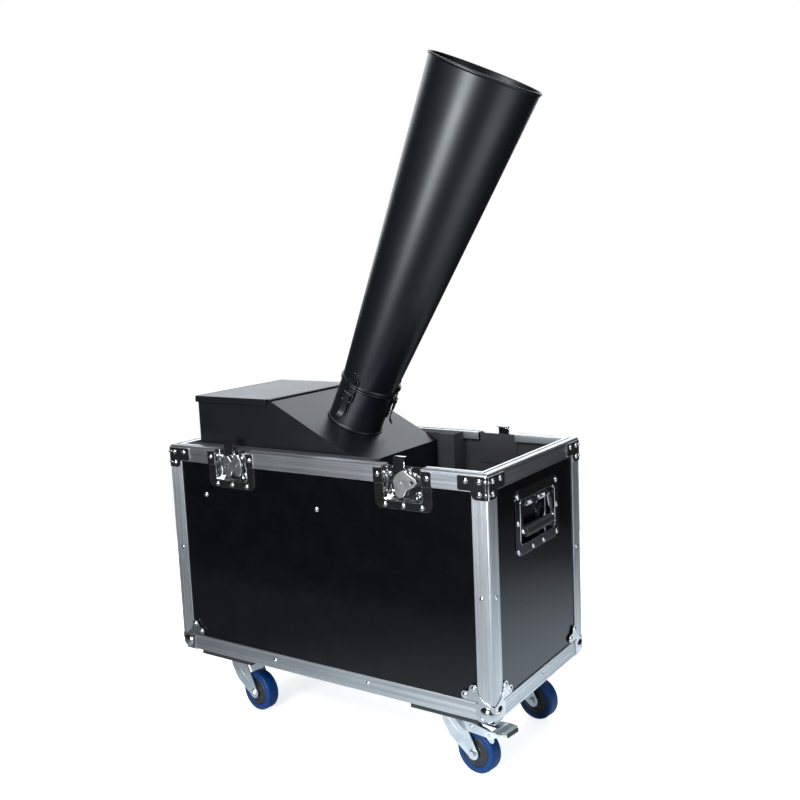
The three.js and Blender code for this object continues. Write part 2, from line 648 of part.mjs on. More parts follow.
// The side arm of a braked fork, out past the wheel to the pedal's pin
function brakeArm() {
  const top = CROWN_UNDERSIDE + CROWN_SHEET / 2;
  const arm = new THREE.Shape();
  arm.moveTo(0, top - CROWN_SHEET);
  arm.lineTo(CROWN_RADIUS * LEG_ROOT_SHARE, top - CROWN_SHEET);
  arm.lineTo(BRAKE_PIN_REACH - BRAKE_EYE_RADIUS, BRAKE_PIN_LEVEL + BRAKE_EYE_RADIUS);
  arm.absarc(BRAKE_PIN_REACH, BRAKE_PIN_LEVEL, BRAKE_EYE_RADIUS, Math.PI / 2, 0, true);
  arm.lineTo(BRAKE_PIN_REACH + BRAKE_EYE_RADIUS, BRAKE_PIN_LEVEL - BRAKE_FOOT_DROP);
  arm.lineTo(BRAKE_PIN_REACH, BRAKE_PIN_LEVEL - BRAKE_FOOT_DROP);
  arm.lineTo(BRAKE_PIN_REACH - BRAKE_EYE_RADIUS, BRAKE_PIN_LEVEL - BRAKE_EYE_RADIUS);
  arm.lineTo(CROWN_RADIUS, BRAKE_PIN_LEVEL - BRAKE_EYE_RADIUS);
  return arm;
}

function forkSolid(braked) {
  const crown = turned([
    [KINGPIN_RADIUS + SEAT_GAP, CROWN_UNDERSIDE],
    [CROWN_RADIUS, CROWN_UNDERSIDE],
    [CROWN_RADIUS, CROWN_TOP],
    [KINGPIN_RADIUS + SEAT_GAP, CROWN_TOP],
    [KINGPIN_RADIUS + SEAT_GAP, CROWN_UNDERSIDE],
  ]);
  const outer = FORK_INNER_HALF + FORK_SHEET;
  const legs = [[-outer, -FORK_INNER_HALF], [FORK_INNER_HALF, outer]];
  const plates = legs.map(([y0, y1]) => sheetXZ(forkLeg(), y0, y1));
  const axle = rod(AXLE_RADIUS, point(CASTOR_TRAIL, -outer, AXLE_LEVEL), point(CASTOR_TRAIL, outer, AXLE_LEVEL));
  const heads = [-1, 1].map((side) => rod(
    AXLE_HEAD_RADIUS,
    point(CASTOR_TRAIL, side * (outer - FORK_SHEET / 2), AXLE_LEVEL),
    point(CASTOR_TRAIL, side * (outer + AXLE_HEAD), AXLE_LEVEL),
    NUT_SIDES,
  ));
  const pieces = [crown, ...plates, axle, ...heads];
  if (braked) {
    const reach = outer + SEAT_GAP + PEDAL_SHEET;
    pieces.push(...legs.map(([y0, y1]) => sheetXZ(brakeArm(), y0, y1)));
    pieces.push(rod(
      BRAKE_PIN_RADIUS,
      point(BRAKE_PIN_REACH, -reach, BRAKE_PIN_LEVEL),
      point(BRAKE_PIN_REACH, reach, BRAKE_PIN_LEVEL),
    ));
  }
  return join(...pieces);
}

function wheelSolid() {
  const bore = AXLE_RADIUS + SEAT_GAP;
  const hub = WHEEL_HUB_WIDTH / 2;
  const web = WHEEL_WEB_WIDTH / 2;
  const tread = WHEEL_WIDTH / 2;
  const side = [
    [bore, hub],
    [WHEEL_HUB_RADIUS, hub],
    [WHEEL_HUB_RADIUS, web],
    [WHEEL_RIM_RADIUS, web],
    [WHEEL_RIM_RADIUS, tread],
    [WHEEL_RADIUS * TREAD_SHOULDER_SHARE, tread],
    [WHEEL_RADIUS, web],
  ];
  const lower = side.map(([r, y]) => [r, -y]);
  const profile = [...lower, ...side.slice().reverse(), lower[0]];
  const wheel = turned(profile, ROUND_SIDES).rotate([90, 0, 0]);
  return wheel.translate([CASTOR_TRAIL, 0, AXLE_LEVEL]);
}

function pedalSolid() {
  const inner = FORK_INNER_HALF + FORK_SHEET + SEAT_GAP;
  const outer = inner + PEDAL_SHEET;
  const top = BRAKE_PIN_LEVEL + PEDAL_RISE;
  const arm = new THREE.Shape();
  arm.moveTo(BRAKE_PIN_REACH, BRAKE_PIN_LEVEL + BRAKE_EYE_RADIUS);
  arm.absarc(BRAKE_PIN_REACH, BRAKE_PIN_LEVEL, BRAKE_EYE_RADIUS, Math.PI / 2, 1.5 * Math.PI);
  arm.lineTo(PEDAL_REACH - PEDAL_RISE, top - PEDAL_SHEET);
  arm.lineTo(PEDAL_REACH - PEDAL_RISE, top);
  arm.lineTo(PEDAL_START, top);
  const sides = [[-outer, -inner], [inner, outer]].map(([y0, y1]) => sheetXZ(arm, y0, y1));
  const tread = block(PEDAL_START, PEDAL_REACH, -outer, outer, top - PEDAL_SHEET, top);
  const hole = rod(
    BRAKE_PIN_RADIUS + SEAT_GAP,
    point(BRAKE_PIN_REACH, -outer - OVERRUN, BRAKE_PIN_LEVEL),
    point(BRAKE_PIN_REACH, outer + OVERRUN, BRAKE_PIN_LEVEL),
  );
  return cut(join(...sides, tread), hole);
}

// The castors that carry a brake stand diagonally across from each other
const BRAKED = ["front_right", "back_left"];

function addCastors() {
  for (const corner of CORNERS) {
    const braked = BRAKED.includes(corner.name);
    const x = corner.end * (HALF_LENGTH - SWIVEL_END_INSET);
    const y = corner.side * (HALF_WIDTH - SWIVEL_SIDE_INSET);
    const group = placedGroup(x, y, CASTOR_HEADING);
    addPart(`castor_fork_${corner.name}`, forkSolid(braked), ZINC, group);
    addPart(`castor_wheel_${corner.name}`, wheelSolid(), BLUE_TREAD, group);
    if (braked) addPart(`brake_pedal_${corner.name}`, pedalSolid(), PEDAL_STEEL, group);
  }
}

// Latches, drawn at the front of the case with the latch's middle at x = 0
function latchDish() {
  const face = -HALF_WIDTH - SEAT_GAP;
  const stepFace = -PANEL_HALF_WIDTH - SEAT_GAP;
  const stepLevel = RIM_TOP - EDGING_FLANGE - SEAT_GAP;
  const half = LATCH_WIDTH / 2;
  const bottom = RIM_TOP - LATCH_DROP;
  const lower = roundedRectangle(-half, half, bottom, stepLevel, LATCH_CORNER_RADIUS, true);
  const lowerSheet = sheetXZ(lower, stepFace - HARDWARE_SHEET, stepFace);
  const riser = block(-half, half, face - HARDWARE_SHEET, stepFace, stepLevel - HARDWARE_SHEET, stepLevel);
  const upperSheet = block(-half, half, face - HARDWARE_SHEET, face, stepLevel - HARDWARE_SHEET, RIM_TOP);
  const box = block(-LATCH_BOX_HALF, LATCH_BOX_HALF, face, LATCH_BOX_BACK, LATCH_BOX_BOTTOM, RIM_TOP);
  const cavityHalf = LATCH_CAVITY_WIDTH / 2;
  const cavityBack = LATCH_BOX_BACK - HARDWARE_SHEET;
  const cavity = block(
    -cavityHalf,
    cavityHalf,
    face - OVERRUN,
    cavityBack,
    RIM_TOP - LATCH_CAVITY_DROP,
    RIM_TOP + OVERRUN,
  );
  const guideDepth = HOOK_SHEET + SEAT_GAP * 2;
  const guides = [-1, 1].map((side) => {
    const edge = side * (HOOK_WIDTH / 2) - (side < 0 ? HOOK_OFFSET : 0);
    const xs = [edge + side * SEAT_GAP, edge + side * (SEAT_GAP + HOOK_SHEET)].sort((a, b) => a - b);
    return block(
      xs[0],
      xs[1],
      cavityBack - guideDepth,
      cavityBack + HARDWARE_SHEET / 2,
      LATCH_AXIS - HOOK_TAIL - HOOK_TRAVEL / 2,
      RIM_TOP - HARDWARE_SHEET,
    );
  });
  return join(cut(join(lowerSheet, riser, upperSheet, box), cavity), ...guides);
}

const HOOK_BACK = LATCH_BOX_BACK - HARDWARE_SHEET - SEAT_GAP;
const HOOK_FRONT = HOOK_BACK - HOOK_SHEET;

// The hook's foot has a slot for the wing's shaft, and its tongue stands to the left of the slot
function latchHook() {
  const half = HOOK_WIDTH / 2;
  const left = -half - HOOK_OFFSET;
  const right = half - HOOK_OFFSET;
  const top = RIM_TOP + HOOK_RISE;
  const slotHalf = WING_SHAFT_RADIUS + SEAT_GAP;
  const footTop = LATCH_AXIS + slotHalf + HOOK_TRAVEL + HOOK_SHEET * 2;
  const foot = block(left, half, HOOK_FRONT, HOOK_BACK, LATCH_AXIS - HOOK_TAIL, footTop);
  const tongue = block(left, right, HOOK_FRONT, HOOK_BACK, LATCH_AXIS, top);
  const lip = block(left, right, HOOK_BACK - HOOK_SHEET / 2, HOOK_BACK + HOOK_LIP, top - HOOK_SHEET, top);
  const slot = block(
    -slotHalf,
    slotHalf,
    HOOK_FRONT - OVERRUN,
    HOOK_BACK + OVERRUN,
    LATCH_AXIS - slotHalf,
    LATCH_AXIS + slotHalf + HOOK_TRAVEL,
  );
  return cut(join(foot, tongue, lip), slot);
}

// The turning wing: two lobes on a hub, and the shaft that goes through the hook's slot
function latchWing() {
  const front = -HALF_WIDTH + WING_RECESS;
  const back = front + WING_SHEET;
  const shoulder = WING_RADIUS * WING_SHOULDER_SHARE;
  const tip = WING_RADIUS * WING_TIP_SHARE;
  const outline = new THREE.Shape();
  outline.moveTo(0, -WING_WAIST);
  outline.lineTo(shoulder, -WING_LOBE);
  outline.quadraticCurveTo(WING_RADIUS, -WING_LOBE, tip, 0);
  outline.quadraticCurveTo(WING_RADIUS, WING_LOBE, shoulder, WING_LOBE);
  outline.lineTo(0, WING_WAIST);
  outline.lineTo(-shoulder, WING_LOBE);
  outline.quadraticCurveTo(-WING_RADIUS, WING_LOBE, -tip, 0);
  outline.quadraticCurveTo(-WING_RADIUS, -WING_LOBE, -shoulder, -WING_LOBE);
  const blades = sheetXZ(outline, front, back);
  const hubBack = HOOK_FRONT - SEAT_GAP;
  const hub = rod(WING_HUB_RADIUS, point(0, front + WING_SHEET / 2, 0), point(0, hubBack, 0), ROUND_SIDES);
  const shaft = rod(WING_SHAFT_RADIUS, point(0, front + WING_SHEET / 2, 0), point(0, HOOK_BACK, 0));
  return join(blades, hub, shaft);
}

function addLatches() {
  for (const latch of LATCHES) {
    const group = placedGroup(latch.x, 0, latch.side < 0 ? 0 : Math.PI);
    addPart(`latch_dish_${latch.name}`, latchDish(), CHROME, group);
    addPart(`latch_hook_${latch.name}`, latchHook(), CHROME, group);
    const wing = addPart(`latch_wing_${latch.name}`, latchWing(), CHROME, group);
    wing.position.z = LATCH_AXIS;
    wing.rotation.y = latch.wingTurn;
  }
}

// Carry handles, drawn at the right end; the left one is turned half way round
function handleDish() {
  const face = PANEL_HALF_LENGTH + SEAT_GAP;
  const flange = roundedRectangle(
    -HANDLE_WIDTH / 2,
    HANDLE_WIDTH / 2,
    HANDLE_CENTRE - HANDLE_HEIGHT / 2,
    HANDLE_CENTRE + HANDLE_HEIGHT / 2,
    HANDLE_CORNER_RADIUS,
  );
  const outline = (grow) => roundedRectangle(
    -HANDLE_CAVITY_WIDTH / 2 - grow,
    HANDLE_CAVITY_WIDTH / 2 + grow,
    HANDLE_CENTRE - HANDLE_CAVITY_HEIGHT / 2 - grow,
    HANDLE_CENTRE + HANDLE_CAVITY_HEIGHT / 2 + grow,
    HANDLE_CAVITY_RADIUS + grow,
  );
  const floor = face - HANDLE_CAVITY_DEPTH;
  const body = join(
    sheetYZ(flange, face, face + HARDWARE_SHEET),
    sheetYZ(outline(HARDWARE_SHEET), floor - HARDWARE_SHEET, face + HARDWARE_SHEET / 2),
  );
  return cut(body, sheetYZ(outline(0), floor, face + OVERRUN));
}

const BAIL_X = PANEL_HALF_LENGTH - BAIL_PIVOT_DEPTH;
const BAIL_Z = HANDLE_CENTRE + BAIL_PIVOT_RISE;

function carryHandle() {
  const gripX = BAIL_X + BAIL_LEAN;
  const gripZ = BAIL_Z - BAIL_DROP;
  const end = HANDLE_CAVITY_WIDTH / 2 - SEAT_GAP;
  const spindle = rod(BAIL_ROD_RADIUS, point(BAIL_X, -end, BAIL_Z), point(BAIL_X, end, BAIL_Z));
  const arms = [-1, 1].map((side) => rod(
    BAIL_ROD_RADIUS,
    point(BAIL_X, side * BAIL_HALF_SPAN, BAIL_Z),
    point(gripX, side * BAIL_HALF_SPAN, gripZ),
  ));
  const foot = rod(
    BAIL_ROD_RADIUS,
    point(gripX, -BAIL_HALF_SPAN - BAIL_ROD_RADIUS, gripZ),
    point(gripX, BAIL_HALF_SPAN + BAIL_ROD_RADIUS, gripZ),
  );
  const grip = rod(
    GRIP_RADIUS,
    point(gripX, -GRIP_HALF_LENGTH, gripZ),
    point(gripX, GRIP_HALF_LENGTH, gripZ),
    ROUND_SIDES,
  );
  return join(spindle, ...arms, foot, grip);
}

function addHandles() {
  for (const [name, turn] of [["right", 0], ["left", Math.PI]]) {
    const group = placedGroup(0, 0, turn);
    addPart(`handle_dish_${name}`, handleDish(), CHROME, group);
    addPart(`carry_handle_${name}`, carryHandle(), BLACK_GRIP, group);
  }
}

// The slope's height above the frame at a place along the case
const slopeHeight = (x) => HOPPER_TOP - (x - RIDGE_X) * Math.tan(BARREL_TILT);

// The hopper's tub: four walls and a floor, open under the lid, closed by the slope under the collar
function hopperBody() {
  const base = WALL_BASE;
  const outline = polygon([
    [HOPPER_LEFT, base],
    [HOPPER_RIGHT, base],
    [HOPPER_RIGHT, slopeHeight(HOPPER_RIGHT)],
    [RIDGE_X + (HOPPER_TOP - TUB_TOP) / Math.tan(BARREL_TILT), TUB_TOP],
    [HOPPER_LEFT, TUB_TOP],
  ]);
  const thickness = HOPPER_SHEET / Math.cos(BARREL_TILT);
  const insideRight = HOPPER_RIGHT - HOPPER_SHEET;
  const ledge = RIDGE_X - HINGE_LEDGE;
  const ledgeUnder = TUB_TOP - HOPPER_SHEET;
  const ledgeEnd = RIDGE_X + (HOPPER_TOP - thickness - ledgeUnder) / Math.tan(BARREL_TILT);
  const inside = polygon([
    [HOPPER_LEFT + HOPPER_SHEET, base + HOPPER_SHEET],
    [insideRight, base + HOPPER_SHEET],
    [insideRight, slopeHeight(insideRight) - thickness],
    [ledgeEnd, ledgeUnder],
    [ledge, ledgeUnder],
    [ledge, TUB_TOP + OVERRUN],
    [HOPPER_LEFT + HOPPER_SHEET, TUB_TOP + OVERRUN],
  ]);
  const half = HOPPER_HALF_WIDTH;
  const shell = cut(
    sheetXZ(outline, -half, half),
    sheetXZ(inside, -half + HOPPER_SHEET, half - HOPPER_SHEET),
  );
  const collarHole = rod(
    BARREL_FOOT_RADIUS - BARREL_SHEET,
    COLLAR_FOOT.clone().addScaledVector(BARREL_AXIS, -COLLAR_LENGTH / 2),
    COLLAR_FOOT.clone().addScaledVector(BARREL_AXIS, COLLAR_LENGTH / 2),
    FINE_SIDES,
  );
  const knuckleRoom = rod(
    KNUCKLE_RADIUS + SEAT_GAP,
    point(RIDGE_X, -half - OVERRUN, HINGE_LEVEL),
    point(RIDGE_X, half + OVERRUN, HINGE_LEVEL),
  );
  return cut(shell, collarHole, knuckleRoom);
}

const HINGE_LEVEL = HOPPER_TOP - LID_SHEET / 2;

// The lid: a flat plate with a folded lip on three sides and the hinge knuckle along the ridge
function hopperLid() {
  const left = LID_LEFT;
  const half = HOPPER_HALF_WIDTH + LID_OVERHANG;
  const plate = block(left, RIDGE_X, -half, half, HOPPER_TOP - LID_SHEET, HOPPER_TOP);
  const lipBottom = HOPPER_TOP - LID_LIP;
  const lipEnd = RIDGE_X - LID_OVERHANG;
  const lips = [
    block(left, left + LID_LIP_SHEET, -half, half, lipBottom, HOPPER_TOP),
    block(left, lipEnd, -half, -half + LID_LIP_SHEET, lipBottom, HOPPER_TOP),
    block(left, lipEnd, half - LID_LIP_SHEET, half, lipBottom, HOPPER_TOP),
  ];
  const knuckle = rod(KNUCKLE_RADIUS, point(RIDGE_X, -half, HINGE_LEVEL), point(RIDGE_X, half, HINGE_LEVEL));
  return join(plate, ...lips, knuckle);
}

// The barrel and collar are drawn upright about their own axis, from the slope, then tilted
const SEAM = COLLAR_LENGTH;
const SEAM_HALF_GAP = SEAT_GAP / 2;
const BARREL_TAPER = (BARREL_MOUTH_RADIUS - BARREL_FOOT_RADIUS) / BARREL_LENGTH;
const barrelRadius = (s) => BARREL_FOOT_RADIUS + BARREL_TAPER * s;

function barrelGroup() {
  const group = new THREE.Group();
  group.position.copy(COLLAR_FOOT);
  group.rotation.y = BARREL_TILT;
  blower.add(group);
  return group;
}

// A toggle's own frame: X out from the barrel, Y round it, Z along it, with the seam at SEAM
const TOGGLE_PIVOT = point(BARREL_FOOT_RADIUS + TOGGLE_PIVOT_STAND, 0, SEAM - TOGGLE_PIVOT_DROP);
const TOGGLE_CRANK_END = TOGGLE_PIVOT.clone().add(point(0, 0, -TOGGLE_CRANK));

function toggleTurns() {
  const turns = [];
  for (let i = 0; i < TOGGLE_COUNT; i += 1) turns.push(-Math.PI / 2 + (2 * Math.PI * i) / TOGGLE_COUNT);
  return turns;
}

const turnedBy = (body, angle) => body.rotate([0, 0, THREE.MathUtils.radToDeg(angle)]);

function barrelCollar() {
  const inner = BARREL_FOOT_RADIUS - BARREL_SHEET;
  const top = SEAM - SEAM_HALF_GAP;
  const tube = turned([
    [inner, SEAT_GAP],
    [BARREL_FOOT_RADIUS + COLLAR_FOOT_FLANGE, SEAT_GAP],
    [BARREL_FOOT_RADIUS + COLLAR_FOOT_FLANGE, SEAT_GAP + BARREL_SHEET],
    [BARREL_FOOT_RADIUS, SEAT_GAP + BARREL_SHEET],
    [BARREL_FOOT_RADIUS, top - SEAM_BEAD_HEIGHT],
    [BARREL_FOOT_RADIUS + SEAM_BEAD, top - SEAM_BEAD_HEIGHT],
    [BARREL_FOOT_RADIUS + SEAM_BEAD, top],
    [inner, top],
    [inner, SEAT_GAP],
  ], FINE_SIDES);
  const earInner = TOGGLE_HALF_WIDTH - TOGGLE_EAR_SHEET;
  const bases = toggleTurns().flatMap((angle) => {
    const base = block(
      BARREL_FOOT_RADIUS - BARREL_SHEET / 2,
      BARREL_FOOT_RADIUS + TOGGLE_BASE_SHEET,
      -TOGGLE_HALF_WIDTH,
      TOGGLE_HALF_WIDTH,
      TOGGLE_PIVOT.z - TOGGLE_BASE_LENGTH,
      TOGGLE_PIVOT.z + TOGGLE_EAR_RADIUS,
    );
    const ears = [[-TOGGLE_HALF_WIDTH, -earInner], [earInner, TOGGLE_HALF_WIDTH]].map(([y0, y1]) => block(
      BARREL_FOOT_RADIUS - BARREL_SHEET / 2,
      TOGGLE_PIVOT.x + TOGGLE_EAR_RADIUS,
      y0,
      y1,
      TOGGLE_PIVOT.z - TOGGLE_EAR_RADIUS,
      TOGGLE_PIVOT.z + TOGGLE_EAR_RADIUS,
    ));
    const pin = rod(
      TOGGLE_PIN_RADIUS,
      TOGGLE_PIVOT.clone().setY(-TOGGLE_HALF_WIDTH),
      TOGGLE_PIVOT.clone().setY(TOGGLE_HALF_WIDTH),
      WIRE_SIDES,
    );
    return [turnedBy(join(base, ...ears, pin), angle)];
  });
  return join(tube, ...bases);
}

function barrelSolid() {
  const foot = SEAM + SEAM_HALF_GAP;
  const mouth = SEAM + BARREL_LENGTH;
  const beadTop = foot + SEAM_BEAD_HEIGHT;
  const cone = turned([
    [BARREL_FOOT_RADIUS - BARREL_SHEET, foot],
    [BARREL_FOOT_RADIUS + SEAM_BEAD, foot],
    [BARREL_FOOT_RADIUS + SEAM_BEAD, beadTop],
    [barrelRadius(SEAM_BEAD_HEIGHT), beadTop],
    [BARREL_MOUTH_RADIUS, mouth - BARREL_MOUTH_BEAD * 2],
    [BARREL_MOUTH_RADIUS + BARREL_MOUTH_BEAD, mouth - BARREL_MOUTH_BEAD],
    [BARREL_MOUTH_RADIUS + BARREL_MOUTH_BEAD / 2, mouth],
    [BARREL_MOUTH_RADIUS - BARREL_SHEET, mouth],
    [BARREL_FOOT_RADIUS - BARREL_SHEET, foot],
  ], FINE_SIDES);
  const keeperTop = SEAM + LOOP_OVER_SEAM - LOOP_WIRE_RADIUS - KEEPER_CLEARANCE;
  const keeperRadius = barrelRadius(LOOP_OVER_SEAM);
  const keepers = toggleTurns().map((angle) => turnedBy(block(
    keeperRadius - BARREL_SHEET - KEEPER_CLEARANCE,
    keeperRadius + KEEPER_STAND,
    -KEEPER_HALF_WIDTH,
    KEEPER_HALF_WIDTH,
    keeperTop - KEEPER_LENGTH,
    keeperTop,
  ), angle));
  return join(cone, ...keepers);
}

function toggleLever() {
  const halfThick = LEVER_THICKNESS / 2;
  const pivot = TOGGLE_PIVOT;
  const tip = pivot.z - LEVER_LENGTH;
  const outline = new THREE.Shape();
  outline.moveTo(pivot.x - halfThick, pivot.z);
  outline.lineTo(pivot.x - halfThick, tip + LEVER_CURL);
  outline.lineTo(pivot.x + LEVER_CURL - halfThick, tip);
  outline.lineTo(pivot.x + LEVER_CURL + halfThick, tip);
  outline.lineTo(pivot.x + halfThick, tip + LEVER_CURL * 2);
  outline.lineTo(pivot.x + halfThick, pivot.z);
  outline.absarc(pivot.x, pivot.z, halfThick, 0, Math.PI);
  const bar = sheetXZ(outline, -LEVER_HALF_WIDTH, LEVER_HALF_WIDTH);
  const reach = LEVER_HALF_WIDTH + OVERRUN;
  const bores = [[pivot, TOGGLE_PIN_RADIUS], [TOGGLE_CRANK_END, LOOP_WIRE_RADIUS]].map(([centre, radius]) => rod(
    radius + SEAT_GAP,
    centre.clone().setY(-reach),
    centre.clone().setY(reach),
    WIRE_SIDES,
  ));
  return cut(bar, ...bores);
}

function toggleLoop() {
  const low = TOGGLE_CRANK_END;
  const high = point(BARREL_FOOT_RADIUS + LOOP_STAND, 0, SEAM + LOOP_OVER_SEAM);
  const corners = [
    low.clone().setY(-LOOP_HALF_WIDTH),
    low.clone().setY(LOOP_HALF_WIDTH),
    high.clone().setY(LOOP_HALF_WIDTH),
    high.clone().setY(-LOOP_HALF_WIDTH),
  ];
  const wires = corners.map((corner, i) => {
    const next = corners[(i + 1) % corners.length];
    const past = next.clone().sub(corner).setLength(LOOP_WIRE_RADIUS);
    return rod(LOOP_WIRE_RADIUS, corner.clone().sub(past), next.clone().add(past), WIRE_SIDES);
  });
  return join(...wires);
}

function addBarrel() {
  const group = barrelGroup();
  addPart("barrel_collar", barrelCollar(), BLACK_STEEL, group);
  addPart("barrel", barrelSolid(), BLACK_STEEL, group);
  toggleTurns().forEach((angle, i) => {
    const holder = new THREE.Group();
    holder.rotation.z = angle;
    group.add(holder);
    addPart(`toggle_lever_${i + 1}`, toggleLever(), BLACK_STEEL, holder);
    addPart(`toggle_loop_${i + 1}`, toggleLoop(), BLACK_STEEL, holder);
  });
}

// The air jet: a bent pipe from a foot plate on the hopper's floor up the middle of the barrel's axis
function airJet() {
  const base = WALL_BASE + HOPPER_SHEET + SEAT_GAP;
  const drop = COLLAR_FOOT.z - base - JET_BEND_RISE;
  const meet = COLLAR_FOOT.clone().addScaledVector(BARREL_AXIS, -drop / BARREL_AXIS.z);
  const bendStart = point(meet.x, 0, meet.z - JET_BEND);
  const bendEnd = meet.clone().addScaledVector(BARREL_AXIS, JET_BEND);
  const pipe = (radius, past) => {
    const path = new THREE.CurvePath();
    path.add(new THREE.LineCurve3(point(meet.x, 0, base - past), bendStart));
    path.add(new THREE.QuadraticBezierCurve3(bendStart, meet, bendEnd));
    path.add(new THREE.LineCurve3(bendEnd, COLLAR_FOOT.clone().addScaledVector(BARREL_AXIS, JET_INTO_COLLAR + past)));
    const along = { steps: JET_RINGS, extrudePath: path, bevelEnabled: false, curveSegments: PIPE_STEPS };
    return solid(new THREE.ExtrudeGeometry(disc(0, 0, radius), along));
  };
  const plate = ring(JET_RADIUS - JET_SHEET / 2, JET_FOOT_PLATE_RADIUS, base, base + JET_FOOT_PLATE);
  return cut(join(pipe(JET_RADIUS, 0), plate.translate([meet.x, 0, 0])), pipe(JET_RADIUS - JET_SHEET, OVERRUN));
}

addPanels();
addEdging();
addBraces();
addBallCorners();
addLinings();
addCastorBoards();
addCastors();
addLatches();
addHandles();
addPart("hopper_body", hopperBody(), BLACK_STEEL);
addPart("hopper_lid", hopperLid(), BLACK_STEEL);
addPart("gas_jet_pipe", airJet(), ZINC);
addBarrel();

// The origin goes to the floor, under the middle of the machine's box
const reach = new THREE.Box3().setFromObject(blower, true);
const middle = reach.getCenter(new THREE.Vector3());
blower.position.set(-middle.x, -middle.y, -reach.min.z);

export default blower;
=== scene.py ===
# %% [markdown]
# # A confetti blower in its flight case
# The machine is a steel hopper with a long tapered barrel, bolted into an open road case on four castors.
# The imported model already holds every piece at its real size, so this script only dresses it: most pieces
# get a finer mesh in the same place, and all of them get a finish worked out by nodes.
# The pieces are placed from the boxes and joints of that model. Details that it doesn't hold, such as rivets and
# beads, have their own numbers here, in millimetres.

import json
import math

import bmesh
import bpy
from mathutils import Matrix, Vector


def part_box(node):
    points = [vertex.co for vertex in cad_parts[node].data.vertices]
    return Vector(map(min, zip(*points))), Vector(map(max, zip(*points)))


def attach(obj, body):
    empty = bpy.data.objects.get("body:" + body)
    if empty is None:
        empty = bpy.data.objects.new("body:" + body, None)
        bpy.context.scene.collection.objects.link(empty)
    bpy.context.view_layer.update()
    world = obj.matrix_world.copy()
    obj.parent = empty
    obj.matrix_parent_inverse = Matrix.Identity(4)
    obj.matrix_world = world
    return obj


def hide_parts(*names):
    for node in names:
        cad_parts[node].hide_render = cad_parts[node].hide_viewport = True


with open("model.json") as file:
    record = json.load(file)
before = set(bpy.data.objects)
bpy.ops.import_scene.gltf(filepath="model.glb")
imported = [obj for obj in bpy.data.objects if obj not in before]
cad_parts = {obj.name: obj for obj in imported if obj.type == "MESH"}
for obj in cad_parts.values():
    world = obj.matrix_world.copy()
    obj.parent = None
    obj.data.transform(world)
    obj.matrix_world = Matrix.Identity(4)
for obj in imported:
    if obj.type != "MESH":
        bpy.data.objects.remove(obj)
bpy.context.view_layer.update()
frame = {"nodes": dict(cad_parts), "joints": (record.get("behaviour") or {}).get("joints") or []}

# %% [markdown]
# ## Units and the main measures
# Sheet metal is drawn in millimetres, so the shapes are too, and each mesh is scaled once when it is done.
# The model's origin is on the floor. The case is easier to draw from its own middle, so all shapes start from
# the centre of the floor panel's underside, and every box and joint is read from there too.

# %% Units and measures
MM = 0.001
floor_low, floor_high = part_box("floor_panel")
CASE_MIDDLE = Vector(((floor_low.x + floor_high.x) / 2, (floor_low.y + floor_high.y) / 2, floor_low.z)) / MM


def box_mm(node):
    low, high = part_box(node)
    return low / MM - CASE_MIDDLE, high / MM - CASE_MIDDLE


def joint_mm(name):
    joint = next(entry for entry in frame["joints"] if entry["name"] == name)
    return Vector(joint["pos_m"]) / MM - CASE_MIDDLE


rim_high = box_mm("top_rim_frame")[1]
base_low, base_high = box_mm("bottom_edge_frame")
HALF_LENGTH = rim_high.x
HALF_WIDTH = rim_high.y
RIM = rim_high.z
BASE = base_low.z
FLANGE = base_high.z - BASE
SHEET = 1.5
GAP = 0.3
CORNERS = {"front_left": (-1, -1), "front_right": (1, -1), "back_right": (1, 1), "back_left": (-1, 1)}
print("case", 2 * HALF_LENGTH, "x", 2 * HALF_WIDTH, "x", round(RIM - BASE, 1), "mm, edging", round(FLANGE, 1))

# %% [markdown]
# ## The camera
# The photograph looks down a little at the case's front right corner. The camera's place and turn were found
# from the corners of the case, so a piece that is in its real place also lands on its place in the picture.
# The turn is written as yaw, pitch and roll, and the camera's three directions follow from them.

# %% Camera
CAMERA_PLACE = Vector((1054.8, -1440.4, 724.6))
YAW = math.radians(34.19)
PITCH = math.radians(7.95)
ROLL = math.radians(-2.52)
LENS = 43.75
SENSOR = 36

backward = Vector((math.sin(YAW) * math.cos(PITCH), -math.cos(YAW) * math.cos(PITCH), math.sin(PITCH)))
level = (-backward).cross(Vector((0, 0, 1))).normalized()
upright = level.cross(-backward)
camera_right = math.cos(ROLL) * level + math.sin(ROLL) * upright
camera_up = math.cos(ROLL) * upright - math.sin(ROLL) * level

camera_data = bpy.data.cameras.new("camera")
camera_data.lens = LENS
camera_data.sensor_width = SENSOR
camera = bpy.data.objects.new("camera", camera_data)
bpy.context.scene.collection.objects.link(camera)
camera_turn = Matrix((camera_right, camera_up, backward)).transposed().to_4x4()
camera.matrix_world = Matrix.Translation((CASE_MIDDLE + CAMERA_PLACE) * MM) @ camera_turn
bpy.context.scene.camera = camera
print("camera at", tuple(round(value, 3) for value in camera.location))

# %% [markdown]
# ## Places on the case
# A latch is drawn the same way wherever it is mounted. So each face of the case has a place of its own: u runs
# to the right along the face, v runs up, and w points out of it. A matrix carries a drawing from there into
# the model, and the same idea serves the corners, the castors and the barrel.

# %% Places
FACES = {
    "front": ((0, -HALF_WIDTH), (1, 0), (0, -1)),
    "right": ((HALF_LENGTH, 0), (0, 1), (1, 0)),
    "back": ((0, HALF_WIDTH), (-1, 0), (0, 1)),
    "left": ((-HALF_LENGTH, 0), (0, -1), (-1, 0)),
}
FACE_HALF = {"front": HALF_LENGTH, "back": HALF_LENGTH, "right": HALF_WIDTH, "left": HALF_WIDTH}


def axes_place(origin, u, v, w):
    turned = Matrix((Vector(u), Vector(v), Vector(w))).transposed().to_4x4()
    return Matrix.Translation(Vector(origin)) @ turned


def shift(u, v, w=0):
    return Matrix.Translation((u, v, w))


def lift(w):
    return shift(0, 0, w)


